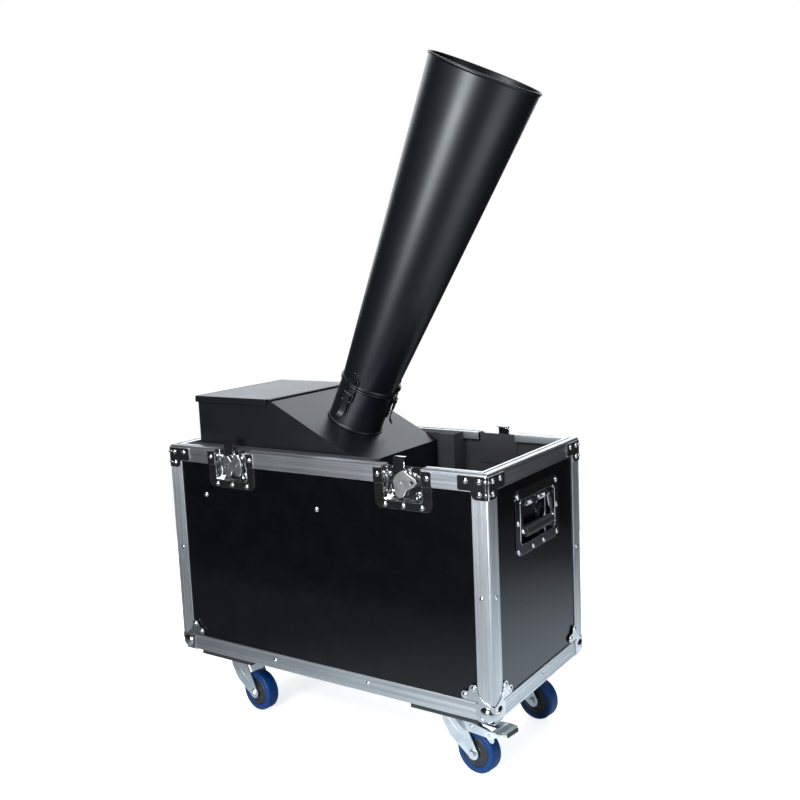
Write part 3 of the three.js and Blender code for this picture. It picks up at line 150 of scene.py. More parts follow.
def on_face(face, u=0, v=0, w=0):
    origin, along, out = FACES[face]
    return axes_place((*origin, 0), (*along, 0), (0, 0, 1), (*out, 0)) @ shift(u, v, w)


def along_axis(point, axis):
    """A place whose w runs along an axis, for turned pieces."""
    return Matrix.Translation(Vector(point)) @ Vector(axis).to_track_quat("Z", "Y").to_matrix().to_4x4()


def sideways(place, start):
    """A place where u runs as before, v runs up and w points to the side, starting at a distance to the side."""
    return place @ axes_place((0, start, 0), (1, 0, 0), (0, 0, 1), (0, -1, 0))


def crosswise(place, point):
    """A place for a pin that runs from side to side through a (u, height) point."""
    return place @ along_axis((point[0], 0, point[1]), (0, 1, 0))


print("a point on the right face", tuple(on_face("right", 10, 20, 1).translation))

# %% [markdown]
# ## A form to build pieces with
# Most of this machine is made in three ways: sheet cut to an outline, bar and tube drawn along a line, and
# round parts turned on a lathe. One small class has a method for each, and all of them add to the same mesh,
# so twenty rivets can be one piece. Sheet and wire come from Blender's curves, because a flat curve is filled
# with its holes and gets a rounded edge in one go, and a bevelled curve is a wire.

# %% The form
EDGE = 0.35
SMOOTH_ANGLE = math.radians(32)
ARC_STEPS = 6
TIP = 0.01


def arc(centre, radius, start, end, steps=8):
    """Points along an arc, with its angles in degrees."""
    angles = [math.radians(start + (end - start) * step / steps) for step in range(steps + 1)]
    return [(centre[0] + radius * math.cos(angle), centre[1] + radius * math.sin(angle)) for angle in angles]


def disc(centre, radius, sides=28):
    return arc(centre, radius, 0, 360 - 360 / sides, sides - 1)


def rounded(corners):
    """An outline through (u, v, radius) corners, each rounded by its own arc."""
    points = []
    for index, (u, v, radius) in enumerate(corners):
        here = Vector((u, v))
        before = (Vector(corners[index - 1][:2]) - here).normalized()
        after = (Vector(corners[(index + 1) % len(corners)][:2]) - here).normalized()
        if radius == 0:
            points.append((u, v))
            continue
        half = before.angle(after) / 2
        reach = radius / math.tan(half)
        centre = here + (before + after).normalized() * radius / math.sin(half)
        first = here + before * reach - centre
        last = here + after * reach - centre
        sweep = first.angle_signed(last)
        for step in range(ARC_STEPS + 1):
            spoke = first.copy()
            spoke.rotate(Matrix.Rotation(-sweep * step / ARC_STEPS, 2))
            points.append(tuple(centre + spoke))
    return points


def plate_outline(width, height, radius, centre=(0, 0)):
    signs = ((-1, -1), (1, -1), (1, 1), (-1, 1))
    return rounded([(centre[0] + a * width / 2, centre[1] + b * height / 2, radius) for a, b in signs])


def cup_outline(half, top, bottom, radius):
    """A U that is open at the top: down one side, across and up the other."""
    return rounded([(half, top, 0), (half, bottom, radius), (-half, bottom, radius), (-half, top, 0)])


def rod(radius, start, stop):
    """The profile of a round bar. It begins almost on the axis, so that its ends close."""
    return [(TIP, start), (radius, start), (radius, stop), (TIP, stop)]


def both_ends(profile):
    """A whole turned profile from one half of it."""
    return profile + [(radius, -w) for radius, w in reversed(profile)]


class Form:
    """A mesh under construction, in millimetres."""

    def __init__(self):
        self.mesh = bmesh.new()

    def take(self, mesh, place):
        start = len(self.mesh.verts)
        self.mesh.from_mesh(mesh)
        self.mesh.verts.ensure_lookup_table()
        for corner in self.mesh.verts[start:]:
            corner.co = place @ corner.co
        bpy.data.meshes.remove(mesh)

    def loft(self, rings, place=Matrix(), closed=False):
        rows = [[self.mesh.verts.new(place @ Vector(point)) for point in ring] for ring in rings]
        pairs = list(zip(rows, rows[1:]))
        if closed:
            pairs.append((rows[-1], rows[0]))
        for lower, upper in pairs:
            for index, corner in enumerate(lower):
                following = (index + 1) % len(lower)
                self.mesh.faces.new((corner, lower[following], upper[following], upper[index]))
        if not closed:
            self.mesh.faces.new(reversed(rows[0]))
            self.mesh.faces.new(rows[-1])
        return self

    def turned(self, profile, place=Matrix(), sides=32, closed=False):
        """Turns (radius, w) points about local w. A closed profile makes a ring."""
        angles = [2 * math.pi * side / sides for side in range(sides)]
        rings = [[(radius * math.cos(a), radius * math.sin(a), w) for a in angles] for radius, w in profile]
        return self.loft(rings, place, closed)

    def curve(self, outlines, place, cyclic, **settings):
        data = bpy.data.curves.new("outline", "CURVE")
        for key, setting in settings.items():
            setattr(data, key, setting)
        for outline in outlines:
            spline = data.splines.new("POLY")
            spline.points.add(len(outline) - 1)
            for knot, point in zip(spline.points, outline):
                knot.co = (*Vector(point).to_3d(), 1)
            spline.use_cyclic_u = cyclic
        carrier = bpy.data.objects.new("outline", data)
        self.take(bpy.data.meshes.new_from_object(carrier), place)
        bpy.data.objects.remove(carrier)
        bpy.data.curves.remove(data)
        return self

    def plate(self, outline, thickness, place=Matrix(), holes=(), edge=EDGE):
        """Sheet cut to an outline, from w 0 outwards."""
        lifted = place @ lift(thickness / 2)
        shape = {"dimensions": "2D", "fill_mode": "BOTH", "extrude": thickness / 2 - edge}
        rounding = {"bevel_depth": edge, "bevel_resolution": 1, "offset": -edge}
        return self.curve([outline, *holes], lifted, True, **rounding, **shape)

    def wire(self, points, radius, place=Matrix(), cyclic=False, rounding=3):
        shape = {"dimensions": "3D", "bevel_depth": radius, "bevel_resolution": rounding, "use_fill_caps": True}
        return self.curve([points], place, cyclic, **shape)

    def moved(self, place):
        for corner in self.mesh.verts:
            corner.co = place @ corner.co
        return self

    def cut_at(self, point, normal):
        """New edges where a plane crosses the sheet, so that it can bend there."""
        everything = self.mesh.verts[:] + self.mesh.edges[:] + self.mesh.faces[:]
        bmesh.ops.bisect_plane(self.mesh, geom=everything, plane_co=point, plane_no=normal)

    def made(self, name, finish):
        """The mesh in metres and in its place, with its material."""
        bmesh.ops.remove_doubles(self.mesh, verts=self.mesh.verts, dist=MM)
        bmesh.ops.recalc_face_normals(self.mesh, faces=self.mesh.faces)
        self.mesh.transform(Matrix.Scale(MM, 4) @ Matrix.Translation(CASE_MIDDLE))
        data = bpy.data.meshes.new(name)
        self.mesh.to_mesh(data)
        self.mesh.free()
        data.shade_smooth()
        data.set_sharp_from_angle(angle=SMOOTH_ANGLE)
        data.materials.append(finish.material)
        return data

    def finish(self, name, finish, body, nodes=(), slot=None, edge=0):
        data = self.made(name, finish)
        piece = bpy.data.objects.new(name, data)
        bpy.context.scene.collection.objects.link(piece)
        soften(piece, edge)
        flat = piece.modifiers.new("flat faces", "WEIGHTED_NORMAL")
        flat.keep_sharp = True
        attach(piece, body)
        if nodes:
            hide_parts(*nodes)
        print(name, len(data.polygons), "faces")
        return piece


def soften(piece, width):
    """A small rounding on every sharp edge, so that edges catch the light."""
    if width:
        bevel = piece.modifiers.new("soft edges", "BEVEL")
        bevel.width = width * MM
        bevel.segments = 2
        bevel.limit_method = "ANGLE"
        bevel.angle_limit = SMOOTH_ANGLE
        bevel.harden_normals = True


# %% [markdown]
# ## Finishes as sums
# A material is a small calculation: roughness, for example, is a steady value plus a little noise. Wiring that
# by hand takes many nodes, so a class wraps a socket and turns Python's sums into Math nodes, in both orders.
# Colours can't go through those, because a Math node turns a colour grey, so they have a mixing method.
# Numbers that are the same all over a surface are set on the shader itself.

# %% Values and finishes
class Value:
    """A number that changes over a surface."""

    def __init__(self, finish, socket):
        self.finish = finish
        self.socket = socket

    def worked(self, operation, first, second):
        node = self.finish.node("ShaderNodeMath", {"operation": operation}, {0: first, 1: second})
        return Value(self.finish, node.outputs[0])

    def __add__(self, other):
        return self.worked("ADD", self, other)

    def __sub__(self, other):
        return self.worked("SUBTRACT", self, other)

    def __rsub__(self, other):
        return self.worked("SUBTRACT", other, self)

    def __mul__(self, other):
        return self.worked("MULTIPLY", self, other)

    __radd__ = __add__
    __rmul__ = __mul__


class Finish:
    """A procedural material that starts from uniform numbers on its shader."""

    def __init__(self, name, slot, colour, numbers):
        self.slot = slot
        self.material = bpy.data.materials.new(name)
        self.material.use_nodes = True
        self.tree = self.material.node_tree
        self.shader = self.tree.nodes["Principled BSDF"]
        self.shader.inputs["Base Color"].default_value = (*colour, 1)
        for key, number in numbers.items():
            self.shader.inputs[key].default_value = number
        self.spot = self.node("ShaderNodeTexCoord").outputs["Object"]

    def node(self, kind, settings=None, values=None):
        """Any node: its settings first, then the values or links of its sockets."""
        made = self.tree.nodes.new(kind)
        for key, setting in (settings or {}).items():
            setattr(made, key, setting)
        for key, value in (values or {}).items():
            if isinstance(value, Value):
                self.tree.links.new(value.socket, made.inputs[key])
            elif isinstance(value, bpy.types.NodeSocket):
                self.tree.links.new(value, made.inputs[key])
            else:
                made.inputs[key].default_value = value
        return made

    def noise(self, scale, detail=2, stretch=(1, 1, 1), roughness=0.5):
        """Noise over the piece. A stretch under 1 draws it out along that axis."""
        spot = self.node("ShaderNodeVectorMath", {"operation": "MULTIPLY"}, {0: self.spot, 1: stretch})
        values = {"Vector": spot.outputs[0], "Scale": scale, "Detail": detail, "Roughness": roughness}
        return Value(self, self.node("ShaderNodeTexNoise", None, values).outputs["Fac"])

    def between(self, value, low, high):
        """0 where the value is low or less, 1 where it is high or more."""
        node = self.node("ShaderNodeMapRange", None, {"Value": value, "From Min": low, "From Max": high})
        return Value(self, node.outputs["Result"])

    def mix(self, mask, first, second):
        ends = [end if isinstance(end, Value) else (*end, 1) for end in (first, second)]
        node = self.node("ShaderNodeMix", {"data_type": "RGBA"}, {0: mask, 6: ends[0], 7: ends[1]})
        return Value(self, node.outputs[2])

    def feed(self, socket, value):
        self.tree.links.new(value.socket, self.shader.inputs[socket])
        return self

    def bump(self, height, distance, strength=1):
        """Raises the surface by the height times a distance in millimetres."""
        values = {"Height": height, "Distance": distance * MM, "Strength": strength}
        return self.feed("Normal", Value(self, self.node("ShaderNodeBump", None, values).outputs[0]))


print("finishes are ready")

# %% [markdown]
# ## Black panels
# The walls are plywood faced with a thin black laminate. It is smooth, but rolled glue leaves a slight
# orange peel, and handling leaves patches that shine a little less. So two noises of different scale change the
# roughness, and a third, much finer, raises the surface by a few hundredths of a millimetre. Inside the case
# the plywood is only stained, so the finish asks how far a point is from the middle, and turns matt short of
# the outer faces.

# %% Laminate
laminate = Finish("black laminate", "laminated_plywood", (0.012, 0.012, 0.013), {"IOR": 1.48})
wear = laminate.noise(9, 4)
grain = laminate.noise(420, 2)
dust = laminate.between(laminate.noise(24, 5, roughness=0.6), 0.4, 0.9)
spot = laminate.node("ShaderNodeSeparateXYZ", None, {0: laminate.spot})
FACE_DEPTHS = (4.5, 4)


def near_face(from_middle, half):
    """0 inside the case and 1 at its outer face, along one direction."""
    distance = laminate.node("ShaderNodeMath", {"operation": "ABSOLUTE"}, {0: from_middle})
    start, full = ((half - depth) * MM for depth in FACE_DEPTHS)
    return laminate.between(Value(laminate, distance.outputs[0]), start, full)


outside = near_face(spot.outputs[1], HALF_WIDTH)
outside = outside + near_face(Value(laminate, spot.outputs[0]) - CASE_MIDDLE.x * MM, HALF_LENGTH)
face_colour = laminate.mix(dust, (0.0012, 0.0013, 0.0018), (0.003, 0.0032, 0.004))
laminate.feed("Base Color", laminate.mix(outside, (0.022, 0.022, 0.023), face_colour))
laminate.feed("Roughness", 0.55 - 0.43 * outside + 0.08 * wear + 0.03 * grain)
laminate.bump(grain + 0.5 * laminate.noise(1500, 1), 0.02, 0.5)

# %% [markdown]
# ## Brushed aluminium
# The edging is extruded and brushed along its length, which leaves fine scratches that way only. Noise that is
# stretched along one axis gives them. The rails run along x and y and the posts along z, so a function makes
# the finish once for each direction.

# %% Aluminium
def brushed(axis):
    along = Vector((1, 1, 1))
    along[axis] = 0.012
    metal = Finish(f"brushed aluminium {'xyz'[axis]}", "aluminium_edging", (0.62, 0.63, 0.65), {"Metallic": 1})
    scratch = metal.noise(900, 3, along, 0.7)
    streak = metal.noise(140, 2, along)
    cloud = metal.noise(14, 3)
    metal.feed("Roughness", 0.26 + 0.1 * scratch + 0.07 * cloud)
    metal.feed("Base Color", metal.mix(metal.between(streak, 0.35, 0.7), (0.47, 0.48, 0.5), (0.7, 0.71, 0.72)))
    return metal.bump(scratch, 0.05, 0.35)


aluminium = [brushed(axis) for axis in range(3)]
print([metal.material.name for metal in aluminium])

# %% [markdown]
# ## Plated steel
# The corners, dishes and rivets are chromed: bright, but pressed from thin sheet, so their faces aren't quite
# flat and reflections swim. A slow bump gives that. The handles' dishes get a copy of the chrome that is
# darkened as painted shade, so that they mirror little of the pale floor, and the latches' wings a satin one.
# The castors are zinc plated instead, which is duller and a little blue, and the pedals are bare pressed steel.

# %% Chrome, zinc and steel
def chromed(name, tone):
    plated = Finish(name, "chromed_steel", tone, {"Metallic": 1})
    plated.feed("Roughness", 0.07 + 0.09 * plated.noise(70, 3))
    return plated.bump(plated.noise(30, 1) + 0.1 * plated.noise(200, 2), 0.15, 0.3)


chrome = chromed("chromed steel", (0.64, 0.65, 0.66))
# A darker copy of the chrome for the handles' dishes: its darker colour is painted shade.
shade_darkened_chrome = chromed("chromed steel darkened as painted shade", (0.33, 0.34, 0.36))

satin = Finish("satin chromed steel", "chromed_steel", (0.56, 0.55, 0.54), {"Metallic": 1})
satin.feed("Roughness", 0.27 + 0.12 * satin.noise(90, 3))
satin.bump(satin.noise(420, 2), 0.03, 0.5)

zinc = Finish("zinc plate", "zinc_plated_steel", (0.62, 0.68, 0.73), {"Metallic": 1})
spangle = zinc.noise(45, 4)
zinc.feed("Roughness", 0.22 + 0.16 * spangle)
zinc.feed("Base Color", zinc.mix(zinc.between(spangle, 0.35, 0.65), (0.72, 0.76, 0.78), (0.88, 0.9, 0.91)))
zinc.bump(zinc.noise(500, 2), 0.03, 0.5)

zinc_black = Finish("black zinc wire", "black_powder_coat", (0.05, 0.052, 0.056), {"Metallic": 1})
zinc_black.feed("Roughness", 0.22 + 0.12 * zinc_black.noise(300, 3))

pedal_steel = Finish("pedal steel", "pedal_steel", (0.76, 0.82, 0.81), {"Metallic": 0.9})
pressed = pedal_steel.noise(120, 4)
pedal_steel.feed("Roughness", 0.46 + 0.16 * pressed)
pedal_steel.bump(pressed, 0.06, 0.5)

# %% [markdown]
# ## Black powder coat
# The hopper and the barrel are steel with a baked powder coat: a satin black with a faint texture where the
# powder flowed together. The texture is about a millimetre across, so it shows only where light grazes it.

# %% Powder coat
powder = Finish("black powder coat", "black_powder_coat", (0.013, 0.014, 0.016), {"IOR": 1.5})
flow = powder.noise(900, 2)
haze = powder.noise(11, 3)
rubbed = powder.between(powder.noise(130, 6, roughness=0.75), 0.66, 0.8)
powder.feed("Roughness", 0.3 + 0.08 * haze + 0.06 * flow)
powder.feed("Base Color", powder.mix(rubbed, (0.0022, 0.003, 0.0046), (0.01, 0.011, 0.013)))
powder.bump(flow, 0.05, 0.5)

# %% [markdown]
# ## Rubber, foam and plastic
# The wheels have a blue elastic tread on a black hub, the handles a black grip, and the gaps beside the hopper
# are lined with dark grey foam. These are soft or moulded, so they have a high roughness and a fine grain, and
# what tells them apart is mostly the scale of that grain.

# %% Rubber, foam and plastic
tread = Finish("blue tread", "wheel_tread", (0.004, 0.034, 0.14), {"Specular IOR Level": 0.22})
scuff = tread.noise(85, 5, roughness=0.65)
tread.feed("Roughness", 0.34 + 0.2 * scuff)
tread.feed("Base Color", tread.mix(tread.between(scuff, 0.45, 0.75), (0.001, 0.027, 0.115), (0.004, 0.036, 0.13)))
tread.bump(scuff, 0.1, 0.4)


def grained(name, slot, colour, rough, patches, grain, height):
    """A finish whose roughness changes in patches, with a grain of its own."""
    made = Finish(name, slot, colour, {})
    made.feed("Roughness", rough[0] + rough[1] * made.noise(*patches))
    return made.bump(made.noise(*grain), *height)


hub_plastic = grained("black hub plastic", "wheel_tread", (0.012, 0.012, 0.013),
                      (0.4, 0.15), (200, 3), (1400, 2), (0.03, 0.5))
grip_rubber = grained("black grip", "handle_grip", (0.014, 0.014, 0.015),
                      (0.42, 0.2), (300, 4), (1100, 2), (0.05, 0.5))
board_paint = grained("black castor board", "castor_board", (0.016, 0.016, 0.017),
                      (0.5, 0.2), (160, 4), (240, 3, (0.2, 1, 1)), (0.15, 0.6))

foam = Finish("grey lining foam", "lining_foam", (0.04, 0.04, 0.042), {})
cells = foam.noise(700, 4, roughness=0.7)
foam.feed("Base Color", foam.mix(foam.between(cells, 0.35, 0.65), (0.014, 0.014, 0.015), (0.034, 0.034, 0.036)))
foam.feed("Roughness", 0.86 + 0.12 * cells)
foam.bump(cells, 0.3, 0.7)

# %% [markdown]
# ## Panels, hopper and linings
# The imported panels, the hopper tub and the foam linings already have the right shape, so they stay. Their
# meshes come as loose triangles, so a Weld modifier joins them first, and a small bevel then takes the
# knife edge off every corner.

# %% Kept pieces
WELD = 0.05


def dress(node, finish, edge):
    piece = frame["nodes"][node]
    piece.data.materials.clear()
    piece.data.materials.append(finish.material)
    weld = piece.modifiers.new("joined", "WELD")
    weld.merge_threshold = WELD * MM
    soften(piece, edge)


for node in ("floor_panel", "front_panel", "back_panel", "left_end_panel", "right_end_panel"):
    dress(node, laminate, 0.4)
for node in ("front_lining", "back_lining"):
    dress(node, foam, 1.2)
dress("hopper_body", powder, 0.8)
dress("gas_jet_pipe", zinc, 0.8)

# %% [markdown]
# ## The top rim
# The rim is one aluminium extrusion folded over the wall: a flange outside with fine lengthwise grooves, a
# sloping shoulder, and a top with a channel between two ridges where the lid's tongue sits. Drawing the section
# once and sweeping it round the four corners gives true mitres. The long and the end rails are separate
# pieces, because the brushing runs along each.

# %% Sweep a section round the case
GROOVE_HALF = 0.45
GROOVE_DEPTH = 0.7
RIM_GROOVE_DEPTH = 0.22


def grooves(levels, depth):
    """V grooves in the outer face, as (depth inwards, height) points from the lowest up."""
    points = []
    for level_at in levels:
        points += [(0, level_at - GROOVE_HALF), (depth, level_at), (0, level_at + GROOVE_HALF)]
    return points


def section_at(section, datum, end, side):
    """A section at a corner of the case, mitred, or cut square at a length along its side."""
    if end in CORNERS:
        sx, sy = CORNERS[end]
        return [(sx * (HALF_LENGTH - d), sy * (HALF_WIDTH - d), datum + h) for d, h in section]
    return [(end, side * (HALF_WIDTH - d), datum + h) for d, h in section]


def rail(section, datum, first, last, gaps=()):
    """Sweeps a section from corner to corner, left open at the gaps."""
    form = Form()
    side = CORNERS[first][1]
    ends = [first] + [end for gap in gaps for end in gap] + [last]
    for start, stop in zip(ends[::2], ends[1::2]):
        form.loft([section_at(section, datum, start, side), section_at(section, datum, stop, side)])
    return form


print("groove", GROOVE_DEPTH, "mm deep")

# %% [markdown]
# The hooks of the latches come up through gaps in the front and back rails, so those rails are swept in three
# lengths. The end rails run from corner to corner.

# %% Rim rails
RIM_WIDTH = 20
WALL = 1.8
RAIL_EDGE = 0.15
RIM_LIP = 14
SHOULDER = 5
rim_section = [(0, -FLANGE)]
rim_section += grooves((-24, -17.5, -11), RIM_GROOVE_DEPTH)
rim_section += [(0, -SHOULDER), (0.7, -3.4), (2.2, -1.4), (4.2, -0.2), (5.2, 0), (6.4, 0), (7.2, -1.3)]
rim_section += [(12.4, -1.3), (13.2, 0), (18.2, 0), (19.4, -0.5), (RIM_WIDTH, -1.6), (RIM_WIDTH, -RIM_LIP)]
rim_section += [(RIM_WIDTH - WALL, -RIM_LIP), (RIM_WIDTH - WALL, -3.1), (5.5, -3.1), (WALL, -6), (WALL, -FLANGE)]

LATCHES = ("front_left", "front_right", "back_left", "back_right")
dishes = {name: box_mm(f"latch_dish_{name}") for name in LATCHES}
GAP_HALF = 38.5


def latch_centre(name):
    low, high = dishes[name]
    return (low.x + high.x) / 2


def side_rail(side, name, **replaced):
    first, last = f"{side}_left", f"{side}_right"
    middles = [latch_centre(first), latch_centre(last)]
    gaps = [(middle - GAP_HALF, middle + GAP_HALF) for middle in middles]
    rail(rim_section, RIM, first, last, gaps).finish(name, aluminium[0], "case", edge=RAIL_EDGE, **replaced)


side_rail("front", "rim_front_rail", nodes=["top_rim_frame"])
side_rail("back", "rim_back_rail")
for end, first, last in (("right", "front_right", "back_right"), ("left", "back_left", "front_left")):
    rail(rim_section, RIM, first, last).finish(f"rim_{end}_rail", aluminium[1], "case", edge=RAIL_EDGE)

# %% [markdown]
# ## The bottom rails
# The base is edged with plain angle: an outer flange with the same lengthwise grooves, turned in under the
# floor. The four lengths stop inside the ball corners, so nothing pokes through a ball.

# %% Bottom rails
RAIL_END = 12
angle_section = [(1.3, 0), (0.4, 0.4), (0, 1.3)]
angle_section += grooves((6.5, 12, 17.5, 23), GROOVE_DEPTH)
angle_section += [(0, FLANGE - 0.8), (0.8, FLANGE), (WALL, FLANGE), (WALL, WALL), (FLANGE, WALL), (FLANGE, 0)]
for side, axis in (("front", 0), ("right", 1), ("back", 0), ("left", 1)):
    replaced = ["bottom_edge_frame"] if side == "front" else []
    half_run = FACE_HALF[side] - RAIL_END
    rings = [[(u, BASE + h, -d) for d, h in angle_section] for u in (-half_run, half_run)]
    Form().loft(rings, on_face(side)).finish(f"base_{side}_rail", aluminium[axis], "case", replaced, edge=RAIL_EDGE)

# %% [markdown]
# ## The corner posts
# Each post is the same kind of angle standing up, with a rounded bead along its corner. Its section is drawn
# for one leg and mirrored for the other, then pulled up between the two rims.

# %% Corner posts
post_low, post_high = box_mm("corner_angle_front_right")
leg = [(FLANGE, WALL), (FLANGE, 0.6), (FLANGE - 0.6, 0)]
for groove_at in (25.5, 20.5, 15.5, 10.5):
    leg += [(groove_at + GROOVE_HALF, 0), (groove_at, GROOVE_DEPTH), (groove_at - GROOVE_HALF, 0)]
leg += [(5.4, 0), (4.8, 0.5), (4.2, 0), (2.2, 0), (0.7, 0.7)]
post_section = leg + [(b, a) for a, b in reversed(leg[:-1])] + [(WALL, WALL)]
for name, (sx, sy) in CORNERS.items():
    rings = []
    for z in (post_low.z, post_high.z):
        rings.append([(sx * (HALF_LENGTH - a), sy * (HALF_WIDTH - b), z) for a, b in post_section])
    Form().loft(rings).finish(f"post_{name}", aluminium[2], "case", [f"corner_angle_{name}"], edge=0.2)

# %% [markdown]
# ## Rivets
# Everything on the case is held by domed rivets with a small dimple where the mandrel broke off. One profile is
# turned for all of them, and each group of rivets is one piece, because a rivet never moves by itself.

# %% Rivet profile
RIVET_RADIUS = 4.7
RIVET_RISE = 2.1


def rivet_profile(radius, rise):
    """From under the rim of the head, over the dome, down into the dimple."""
    shares = [(1, -0.3), (1, 0.12), (0.93, 0.4), (0.78, 0.68), (0.55, 0.9), (0.36, 1), (0.27, 0.98)]
    shares += [(0.2, 0.62), (TIP, 0.55)]
    return [(radius * r, rise * h) for r, h in shares]


def rivets(name, places, radius=RIVET_RADIUS, rise=RIVET_RISE):
    form = Form()
    for place in places:
        form.turned(rivet_profile(radius, rise), place, 20)
    form.finish(name, chrome, "case")


print("rivet head", 2 * RIVET_RADIUS, "mm")

POST_RIVET = (17, 202)
RAIL_RIVETS = {"front": (-109.7, 100), "back": (-100, 109.7), "right": (-0.4,), "left": (0.4,)}
RAIL_RIVET_LEVEL = 14.2
HOPPER_BOLTS = [(-257.9, 312), (6.6, 311.1)]
PANEL_FACE = -2.1


def corner_faces(corner):
    """For both faces at a corner: a place with u running away from the corner, v up and w out."""
    sx, sy = CORNERS[corner]
    origin = (sx * HALF_LENGTH, sy * HALF_WIDTH, 0)
    turns = [((-sx, 0, 0), (0, sy, 0)), ((0, -sy, 0), (sx, 0, 0))]
    return [axes_place(origin, away, (0, 0, 1), out) for away, out in turns]


lone = [place @ shift(*POST_RIVET) for corner in CORNERS for place in corner_faces(corner)]
lone += [on_face(side, u, RAIL_RIVET_LEVEL) for side, spots in RAIL_RIVETS.items() for u in spots]
rivets("edging_rivets", lone, radius=4.1, rise=1.7)
bolt_places = [on_face("front", u, v, PANEL_FACE) for u, v in HOPPER_BOLTS]
bolt_places += [on_face("back", -u, v, PANEL_FACE) for u, v in HOPPER_BOLTS]
rivets("hopper_bolts", bolt_places, radius=5.2, rise=3.2)

# %% [markdown]
# ## Folding sheet round a corner
# The plates on the corners are one sheet each, cut flat and then folded. They could be built as two plates with
# a bend between them, but the joins would show in the chrome. So the sheet is cut flat here too, with t running
# along it from the fold, sliced where it has to bend, and then each point is moved to its place.

# %% Fold
FOLD_SLICES = 8


def fold(form, corner, level, bend):
    """Folds a flat sheet (t along, v up, w out) round an upright corner of the case."""
    sx, sy = CORNERS[corner]
    half = bend * math.pi / 4
    for step in range(FOLD_SLICES + 1):
        form.cut_at((half * (2 * step / FOLD_SLICES - 1), 0, 0), (1, 0, 0))
    centre = Vector((sx * (HALF_LENGTH - bend), sy * (HALF_WIDTH - bend), level))
    for point in form.mesh.verts:
        t, v, w = point.co
        past = max(abs(t) - half, 0)
        angle = math.pi / 4 + max(-half, min(half, t)) / bend
        spoke = Vector((math.cos(angle) * sx, math.sin(angle) * sy, 0)) * (bend + w)
        leg = Vector((-sx, 0, 0)) if t > 0 else Vector((0, -sy, 0))
        point.co = centre + spoke + leg * past + Vector((0, 0, v))


def mirrored(half_outline):
    """A whole outline from its right half, which runs from the top of the fold line to its foot."""
    return half_outline + [(-t, v) for t, v in reversed(half_outline)]


print("folds have", FOLD_SLICES, "slices")

# %% [markdown]
# ## Corner braces
# A pressed plate wraps each top corner: a short arm along both rims and a leg down the post. It starts just
# under the rim's shoulder, and two pressed ribs across the bend stiffen it.

# %% Braces
BEND = 4
BEND_BACK = BEND - BEND * math.pi / 4
BRACE_ARM = 53
BRACE_LEG = 28.5
BRACE_TOP = RIM - SHOULDER + 0.4
BRACE_BAND = 23.5
BRACE_FOOT = 37.5
BRACE_RIVETS = [(14.5, -8), (38.5, -8), (14.5, -28.5)]
RIB_LENGTH = 12
RIB_HEIGHT = 3.6

half_brace = [(0, 0), (BRACE_ARM - 1.5, 0), (BRACE_ARM, -1.5), (BRACE_ARM, -BRACE_BAND + 2.5)]
half_brace += [(BRACE_ARM - 2.5, -BRACE_BAND), (BRACE_LEG + 2, -BRACE_BAND), (BRACE_LEG, -BRACE_BAND - 2)]
half_brace += arc((BRACE_LEG - 9, -BRACE_FOOT + 9), 9, 0, -90) + [(0, -BRACE_FOOT)]
brace_flat = mirrored([(max(t - BEND_BACK, 0), v) for t, v in half_brace])
for corner in CORNERS:
    form = Form().plate(brace_flat, SHEET, lift(GAP))
    for _, v in BRACE_RIVETS[1:]:
        form.plate(plate_outline(RIB_LENGTH, RIB_HEIGHT, 1.7, (0, v)), 2, lift(SHEET), edge=0.9)
    fold(form, corner, BRACE_TOP, BEND)
    form.finish(f"brace_{corner}", chrome, "case", [f"corner_brace_{corner}"])
    faces = [place @ shift(0, BRACE_TOP, GAP + SHEET) for place in corner_faces(corner)]
    heads = [place @ shift(u, v) for place in faces for u, v in BRACE_RIVETS]
    rivets(f"brace_rivets_{corner}", heads)

# %% [markdown]
# ## Ball corners
# A pressed cap protects each bottom corner: a ball, with an ear of two lobes on both sides and a flat tab under
# the base. The ears and the sleeve round the rails are one folded sheet again, with a round opening on each
# face. The ball is turned on the lathe and bulges out through the openings.

# %% Ball corners
BALL = 20
BALL_INSET = 14.5
BALL_MEETS_FACE = 11.7
LOBE = 7.6
LOW_LOBE = (52, 39.6)
HIGH_LOBE = (36.5, 52.5)
TAB_REACH = 34

half_ear = [(0, 28.5), (8, 30), (17, 34), (24, 40), (28.5, 47)]
half_ear += arc(HIGH_LOBE, LOBE, 195, 0) + [(46.6, 47.4)] + arc(LOW_LOBE, LOBE, 90, -90)
half_ear += [(28.4, 32), (27.6, 31), (28.4, 30), (33, 29.8), (34.2, 28.6), (34.2, 26.5), (33, 23), (32.6, 10)]
half_ear += [(30, 4), (26, 0.5), (18, 0.5)]
half_ear += arc((BALL_INSET, BALL_INSET), BALL_MEETS_FACE, -70, 158, 16) + [(0, 17.5)]
ear_flat = mirrored([(max(t - BEND_BACK, 0), v) for t, v in half_ear])
tab = rounded([(1, 1, 2), (TAB_REACH, 1, 4), (TAB_REACH, 13, 6), (13, TAB_REACH, 6), (1, TAB_REACH, 4)])
BALL_STEPS = 28
ball_angles = [math.pi * step / BALL_STEPS for step in range(BALL_STEPS + 1)]
ball_profile = [(BALL * math.sin(angle), BALL * math.cos(angle)) for angle in ball_angles]
for corner, (sx, sy) in CORNERS.items():
    form = Form().plate(ear_flat, SHEET, lift(GAP))
    fold(form, corner, BASE, BEND)
    below = (sx * HALF_LENGTH, sy * HALF_WIDTH, BASE - GAP - SHEET)
    form.plate(tab, SHEET, axes_place(below, (-sx, 0, 0), (0, -sy, 0), (0, 0, 1)))
    centre = (sx * (HALF_LENGTH - BALL_INSET), sy * (HALF_WIDTH - BALL_INSET), BASE + BALL_INSET)
    form.turned(ball_profile, Matrix.Translation(centre), 48)
    form.finish(f"ball_{corner}", chrome, "case", [f"ball_corner_{corner}"])
    faces = [place @ shift(0, BASE, GAP + SHEET) for place in corner_faces(corner)]
    heads = [place @ shift(*lobe) for place in faces for lobe in (LOW_LOBE, HIGH_LOBE)]
    rivets(f"ear_rivets_{corner}", heads)

